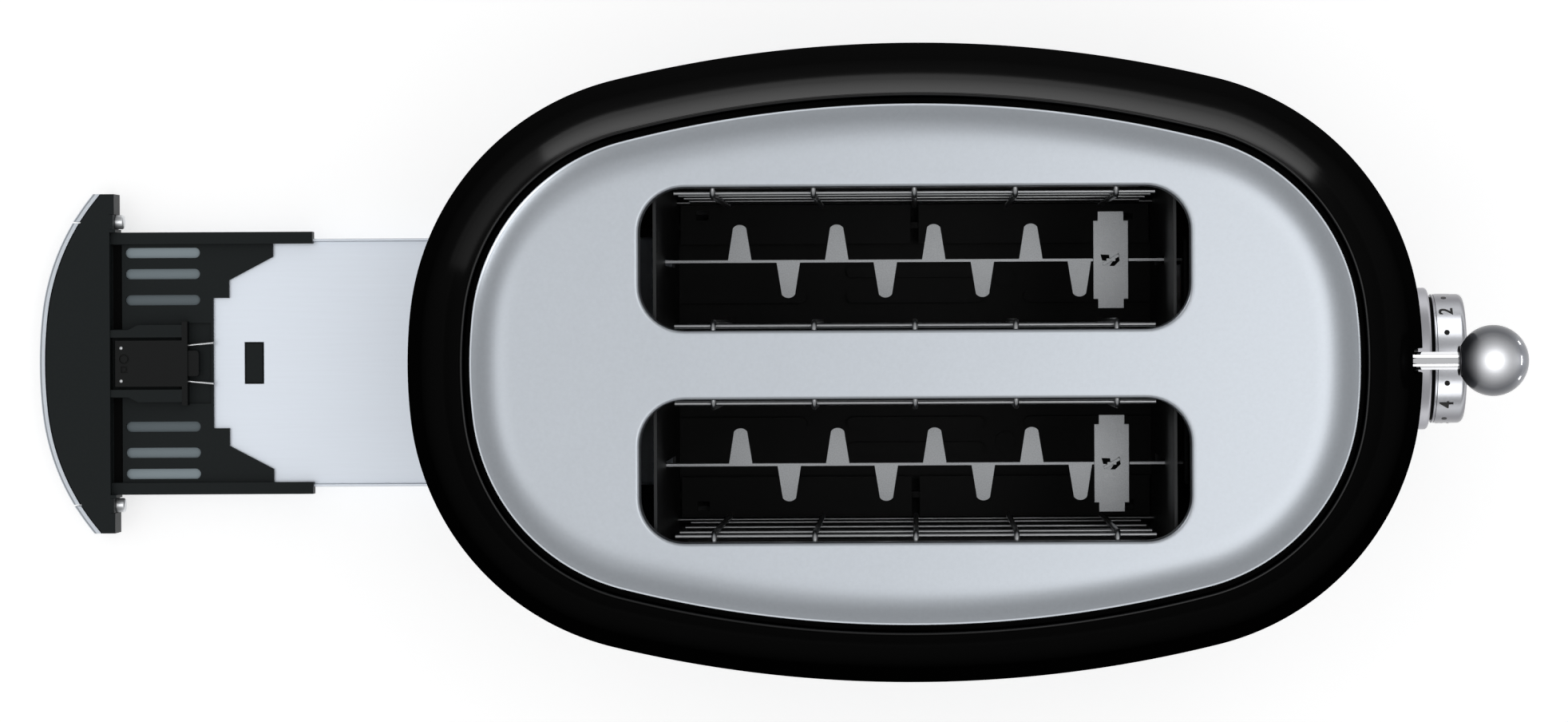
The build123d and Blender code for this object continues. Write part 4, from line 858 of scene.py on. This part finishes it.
def makeDial():
    size = {key: value * mm for key, value in dial.items() if isinstance(value, float)}
    fine, soft, deep, grooved = (
        size[key] for key in ("fineEdge", "softEdge", "deepEdge", "grooveEdge")
    )
    low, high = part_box("dial_knob")
    bezelLow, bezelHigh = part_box("dial_bezel")
    radius, middle = (high.z - low.z) / 2, (low.z + high.z) / 2
    rear, front = bezelHigh.x + size["gap"], high.x
    face, wall, hub, dish = size["face"], size["wall"], size["hub"], front - size["faceDepth"]
    ringFoot, ringHigh = rear + size["ringWidth"], radius - size["ringRise"]
    first, second, third = (ringFoot - step * mm for step in dial["ringSteps"])
    rows = [
        (dish, 0), (dish, face - size["faceSlope"], soft), (front, face, soft),
        (front, radius, size["frontEdge"]), (ringFoot, radius, fine),
        (first, ringHigh, fine), (second, ringHigh, fine), (third, radius, fine),
        (rear, radius, soft), (rear, radius - wall, soft),
        (dish - wall, radius - wall, deep), (dish - wall, hub), (low.x, hub), (low.x, 0),
    ]
    turnedPiece("dialKnob", rows, "dial_knob", "dial", materials["dial_silver"])
    back, lip, bore, hole = bezelLow.x, bezelHigh.x, size["bezelBore"], size["bezelHole"]
    rim, groove, floor = (bezelHigh.z - bezelLow.z) / 2, size["groove"], lip - size["grooveDepth"]
    rows = [
        (back, hole), (back, rim, soft), (lip, rim, size["bezelEdge"]), (lip, groove, grooved),
        (floor, groove - size["grooveSlope"], grooved), (floor, bore, soft),
        (back + wall, bore, deep), (back + wall, hole), (back, hole),
    ]
    turnedPiece("dialBezel", rows, "dial_bezel", "housing", materials["bezelSilver"])
    # A black ring between bezel and knob: painted shade in the gap between them
    gap, inner = size["gapShadeRadius"], size["gapShadeRadius"] - wall
    start, end = lip - dial["gapShadeReach"][0] * mm, rear + dial["gapShadeReach"][1] * mm
    rows = [(start, inner), (start, gap), (end, gap), (end, inner), (start, inner)]
    points, faces = latheSurface(roundedProfile(rows), (0, 0, middle), steps=dial["turnSteps"])
    ringPiece = newPiece("dialGapRing", points, faces, "dial", materials["paintedShadeBlack"])
    return radius, rear, middle


# Figures and dots printed on the rim. A flat shape (across, up) is wrapped round the rim: up points
# to the toaster's body, and across runs towards its left at the top of the dial
def wrapFlat(mesh, angle, centreX, radius, height):
    count = len(mesh.vertices)
    flat = np.empty(count * 3)
    mesh.vertices.foreach_get("co", flat)
    flat = flat.reshape(-1, 3)
    turn = math.radians(angle) - flat[:, 0] / radius
    away = radius + flat[:, 2]
    x, y, z = centreX - flat[:, 1], -away * np.sin(turn), height + away * np.cos(turn)
    mesh.vertices.foreach_set("co", np.stack([x, y, z], -1).ravel())


def makeFigures(radius, rear, height):
    bm = bmesh.new()
    outer = radius + dial["figureRise"] * mm
    for k in range(dial["count"]):
        angle = dial["firstAngle"] + k * dial["step"]
        curve = bpy.data.curves.new("figure", "FONT")
        curve.body = str(k + 1)
        curve.size = dial["figureHeight"] * mm / dial["figureShare"]
        curve.align_x = "CENTER"
        curve.resolution_u = 5
        curve.offset = dial["figureBold"] * mm
        text = addObject("figure", curve)
        bpy.context.view_layer.update()
        flat = bpy.data.meshes.new_from_object(text)
        flat.transform(Matrix.Translation((0, -dial["figureHeight"] * mm / 2, 0)))
        bpy.data.objects.remove(text)
        fine = bmesh.new()
        fine.from_mesh(flat)
        bmesh.ops.triangulate(fine, faces=fine.faces)
        bmesh.ops.subdivide_edges(fine, edges=fine.edges, cuts=3)
        fine.to_mesh(flat)
        fine.free()
        wrapFlat(flat, angle, rear + dial["figureCentre"] * mm, outer, height)
        bm.from_mesh(flat)
        turn = np.linspace(0, 2 * np.pi, 20, endpoint=False)
        dot = bpy.data.meshes.new("dot")
        ring = np.stack([np.cos(turn), np.sin(turn), 0 * turn], -1) * dial["dotRadius"] * mm
        dot.from_pydata(ring.tolist(), [], [list(range(len(turn)))])
        wrapFlat(dot, angle + dial["step"] / 2, rear + dial["dotCentre"] * mm, outer, height)
        bm.from_mesh(dot)
    mesh = bpy.data.meshes.new("dialFigures")
    bm.to_mesh(mesh)
    bm.free()
    mesh.materials.append(materials["printBlack"])
    piece = addObject("dialFigures", mesh)
    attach(piece, "dial")


makeFigures(*makeDial())
print("dial made")

# Chrome round the foot: the oval at the shell's foot with a rounded profile. The base ring is open
# at the rear; the tray's front skin and its two corner caps close it when the tray is home
footChrome = dict(
    inset=0.8, ringWall=1.5, ringEdge=0.9, trayWall=2.2, trayEdge=0.75, trayInnerEdge=0.15,
    trayBulge=0.35, opening=0.3, skinHalf=45.2, capStart=45.7,
)


# Columns of a closed surface between two values of y at its rear end, cut off square and closed
def ovalPart(points, low, high, inside=True):
    y = points[0, :, 1]
    wanted = (y > low) & (y < high) & (points[0, :, 0] < points[0, :, 0].mean())
    if not inside:
        wanted = ~wanted
    first = int(np.argmax(wanted & ~np.roll(wanted, 1)))
    points = np.roll(points, -first, axis=1)[:, : int(wanted.sum())]
    for end, inner in ((0, 1), (-1, -2)):
        nearLow = abs(points[:, end, 1] - low) < abs(points[:, end, 1] - high)
        target = np.where(nearLow, low, high)
        share = (target - points[:, inner, 1]) / (points[:, end, 1] - points[:, inner, 1])
        points[:, end] = points[:, inner] + (points[:, end] - points[:, inner]) * share[:, None]
    rows, columns = points.shape[:2]
    faces = [list(face) for face in gridFaces(rows, columns, closedColumns=False)]
    faces.append([i * columns for i in range(rows - 1)])
    faces.append([i * columns + columns - 1 for i in reversed(range(rows - 1))])
    return points.reshape(-1, 3), faces


def footRows(corners, bulge=0.0):
    profile = roundedProfile(corners)
    low, high = profile[:, 1].min(), profile[:, 1].max()
    level = (profile[:, 1] - low) / (high - low) * 2 - 1
    outer = profile[:, 0] < (profile[:, 0].min() + profile[:, 0].max()) / 2
    profile[:, 0] += np.where(outer, bulge * level**2, 0)
    footShare = profileRows(0, (2, 2, 2))[0, 0]
    return np.column_stack([np.full(len(profile), footShare), profile])


def makeFootChrome():
    low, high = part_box("base_ring")
    half = (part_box("tray_trim")[1].y / mm + footChrome["opening"]) * mm
    inset, wall, edge = footChrome["inset"], footChrome["ringWall"], footChrome["ringEdge"]
    bottom, top = low.z / mm, high.z / mm
    rows = footRows([
        (inset + wall, bottom), (inset, bottom, edge), (inset, top, edge / 2), (inset + wall, top),
        (inset + wall, bottom),
    ])
    points, faces = ovalPart(ovalSurface(rows), -half, half, inside=False)
    piece = newPiece("baseRingSkin", points, faces, "housing", materials["trayChrome"])
    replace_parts(piece, "base_ring")
    low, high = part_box("tray_trim")
    wall, edge = footChrome["trayWall"], footChrome["trayEdge"]
    bottom, top, end = low.z / mm, high.z / mm, high.y
    rows = footRows([
        (inset + wall, bottom), (inset, bottom, edge), (inset, top, edge),
        (inset + wall, top, footChrome["trayInnerEdge"]), (inset + wall, bottom),
    ], footChrome["trayBulge"])
    drawnOut = ovalSurface(rows)
    drawnOut[..., 0] += low.x - drawnOut[..., 0].min()
    skin, cap = footChrome["skinHalf"] * mm, footChrome["capStart"] * mm
    vertices, faces = [], []
    for start, stop in ((-skin, skin), (cap, end), (-end, -cap)):
        points, quads = ovalPart(drawnOut, start, stop)
        first = sum(len(v) for v in vertices)
        vertices.append(points)
        faces += [[i + first for i in face] for face in quads]
    piece = newPiece("trayFrontChrome", np.vstack(vertices), faces, "tray", materials["trayChrome"])
    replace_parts(piece, "tray_trim")


makeFootChrome()
print("chrome round the foot made")

# Moulded and pressed pieces keep the CAD shape, with their edges rounded: (width in mm, segments)
roundedEdges = dict(
    tray_carrier=(0.35, 2), latch_case=(0.3, 2), latch_catch=(0.2, 2), tray_sheet=(0.18, 2),
    tray_screws=(0.15, 2), rack_left=(0.15, 2), rack_right=(0.15, 2),
    cross_plate_left=(0.15, 2), cross_plate_right=(0.15, 2),
    carriage=(0.2, 2), front_frame=(0.2, 2), rear_frame=(0.2, 2), button_guide=(0.3, 2),
    stop_button=(0.15, 2), reheat_button=(0.15, 2), defrost_button=(0.15, 2), cord_gland=(0.4, 3),
    foot_front_left=(0.5, 3), foot_front_right=(0.5, 3),
    foot_rear_left=(0.5, 3), foot_rear_right=(0.5, 3),
)
ownFinish = dict(latch_case="latchBlack", latch_catch="latchBlack")
for name, (width, segments) in roundedEdges.items():
    bevelledNode(name, width * mm, segments, materials[ownFinish.get(name, slotOf[name])])
print("rounded copies made")

# Small things on the tray, in millimetres: black strips of painted shade in the channel behind the
# front, bright rivets on the latch case, and the two wire prongs, which spread as they go
trayDetails = dict(
    channelShadeX=(-258.5, -255.6), channelShadeY=(11.1, 38.2), channelShadeZ=(12.28, 12.45), channelShadeEdge=0.05,
    rivetX=-255.2, rivetY=(5.0, -5.6), rivetTop=18.6,
    rivetRadius=0.55, rivetRise=0.25, rivetSunk=0.1,
    prongX=(-240.0, -225.6), prongStart=5.2, prongSpread=0.17, prongLevel=15.6, prongRadius=0.42,
    prongEdges=(0.1, 0.3), prongBend=8.3,
)


def makeTrayDetails():
    d = trayDetails
    # Black strips in the channel behind the tray's front: painted shade
    for side, name in ((1, "channelLinerLeft"), (-1, "channelLinerRight")):
        low, high = d["channelShadeX"]
        z0, z1 = d["channelShadeZ"]
        edge = d["channelShadeEdge"]
        across = np.array([
            (low, z0), (low, z1 - edge), (low + edge, z1),
            (high - edge, z1), (high, z1 - edge), (high, z0),
        ])
        y = side * np.array(d["channelShadeY"])
        points = np.stack([np.insert(across, 1, place, axis=1) for place in y]) * mm + (bodyX, 0, 0)
        faces = gridFaces(2, len(across)).tolist()
        count = len(across)
        faces += [list(range(count)), [count + i for i in reversed(range(count))]]
        channelShadeStrip = newPiece(name, points, faces, "tray", materials["paintedShadeBlack"])
    turn = np.linspace(0, np.pi / 2, 8)
    dome = np.stack([d["rivetRise"] * np.sin(turn), d["rivetRadius"] * np.cos(turn)], -1)
    dome = np.vstack([(-d["rivetSunk"], 0), (-d["rivetSunk"], d["rivetRadius"]), dome])
    dome[-1, 1] = 0
    for k, y in enumerate(d["rivetY"]):
        centre = (bodyX + d["rivetX"] * mm, y * mm, d["rivetTop"] * mm)
        points, faces = latheSurface(dome * mm, centre, axis="Z", steps=24)
        rivet = newPiece(f"latchRivet{k + 1}", points, faces, "tray", materials["bright_screw"])
    (low, high), radius, (rearEdge, frontEdge) = d["prongX"], d["prongRadius"], d["prongEdges"]
    rows = [(low, 0), (low, radius, rearEdge), (high, radius, frontEdge), (high, 0)]
    rows = roundedProfile(rows) * mm
    vertices, faces = [], []
    for side in (1, -1):
        centre = (bodyX, side * d["prongStart"] * mm, d["prongLevel"] * mm)
        points, quads = latheSurface(rows, centre, steps=24)
        points = points.reshape(-1, 3)
        along = np.clip(points[:, 0] - bodyX - (high - d["prongBend"]) * mm, 0, None)
        points[:, 1] += side * d["prongSpread"] * along
        faces += [[i + sum(len(v) for v in vertices) for i in face] for face in quads]
        vertices.append(points)
    piece = newPiece("trayProngs", np.vstack(vertices), faces, "tray", materials["wire_steel"])
    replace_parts(piece, "latch_prongs")


makeTrayDetails()

# Thin flat pieces, each a loop of (x, y) points in millimetres with a little thickness: strips of
# painted shade under the tray's slots, and black corners of painted shade beside each cross plate's
# lock tab, where no opening is cut
flatPieces = dict(
    thick=0.05, gap=0.02, sheetTop=11.4, ventX=(-255.2, -229.6), ventHalf=2.2,
    vents=((35.6, "shadedOuter"), (28.8, "shadedMiddle"), (20.4, "shadedInner")),
    lockCorners=(
        ((-3.1, 1.6), (-0.5, 1.5), (-0.3, -0.4), (-2.6, -0.2)),
        ((-0.4, -1.9), (2.3, 2.1), (2.7, -0.3), (1.0, -1.9)),
    ),
)


def makeFlatPiece(name, loops, centre, body, material):
    vertices, faces = [], []
    for loop in loops:
        loop = np.asarray(loop, float)
        following = np.roll(loop, -1, axis=0)
        if np.sum(loop[:, 0] * following[:, 1] - loop[:, 1] * following[:, 0]) < 0:
            loop = loop[::-1]
        count, first = len(loop), len(vertices)
        for height in (0, flatPieces["thick"]):
            vertices += np.column_stack([loop, np.full(count, height)]).tolist()
        faces += (gridFaces(2, count) + first).tolist()
        faces.append([first + i for i in reversed(range(count))])
        faces.append([first + count + i for i in range(count)])
    piece = newPiece(name, np.array(vertices) * mm + centre, faces, body, material)


def makeFlatPieces():
    level = (flatPieces["sheetTop"] + flatPieces["gap"]) * mm
    (x0, x1), half = flatPieces["ventX"], flatPieces["ventHalf"]
    for k, (across, finish) in enumerate(flatPieces["vents"]):
        for name, y in (("ventSheetUpper", across), ("ventSheetLower", -across)):
            loop = [(x0, y - half), (x1, y - half), (x1, y + half), (x0, y + half)]
            makeFlatPiece(
                f"{name}{k + 1}", [loop], (bodyX, 0, level), "tray",
                materials[finish],
            )
    # Black corners on each cross plate: painted shade where open corners would be
    for side in ("left", "right"):
        low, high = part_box("cross_plate_" + side)
        makeFlatPiece(
            "lockCorners" + side.capitalize(), flatPieces["lockCorners"],
            ((low.x + high.x) / 2, (low.y + high.y) / 2, high.z + flatPieces["gap"] * mm), "lift",
            materials["paintedShadeBlack"],
        )


makeFlatPieces()
print("tray details made")
aimLights()
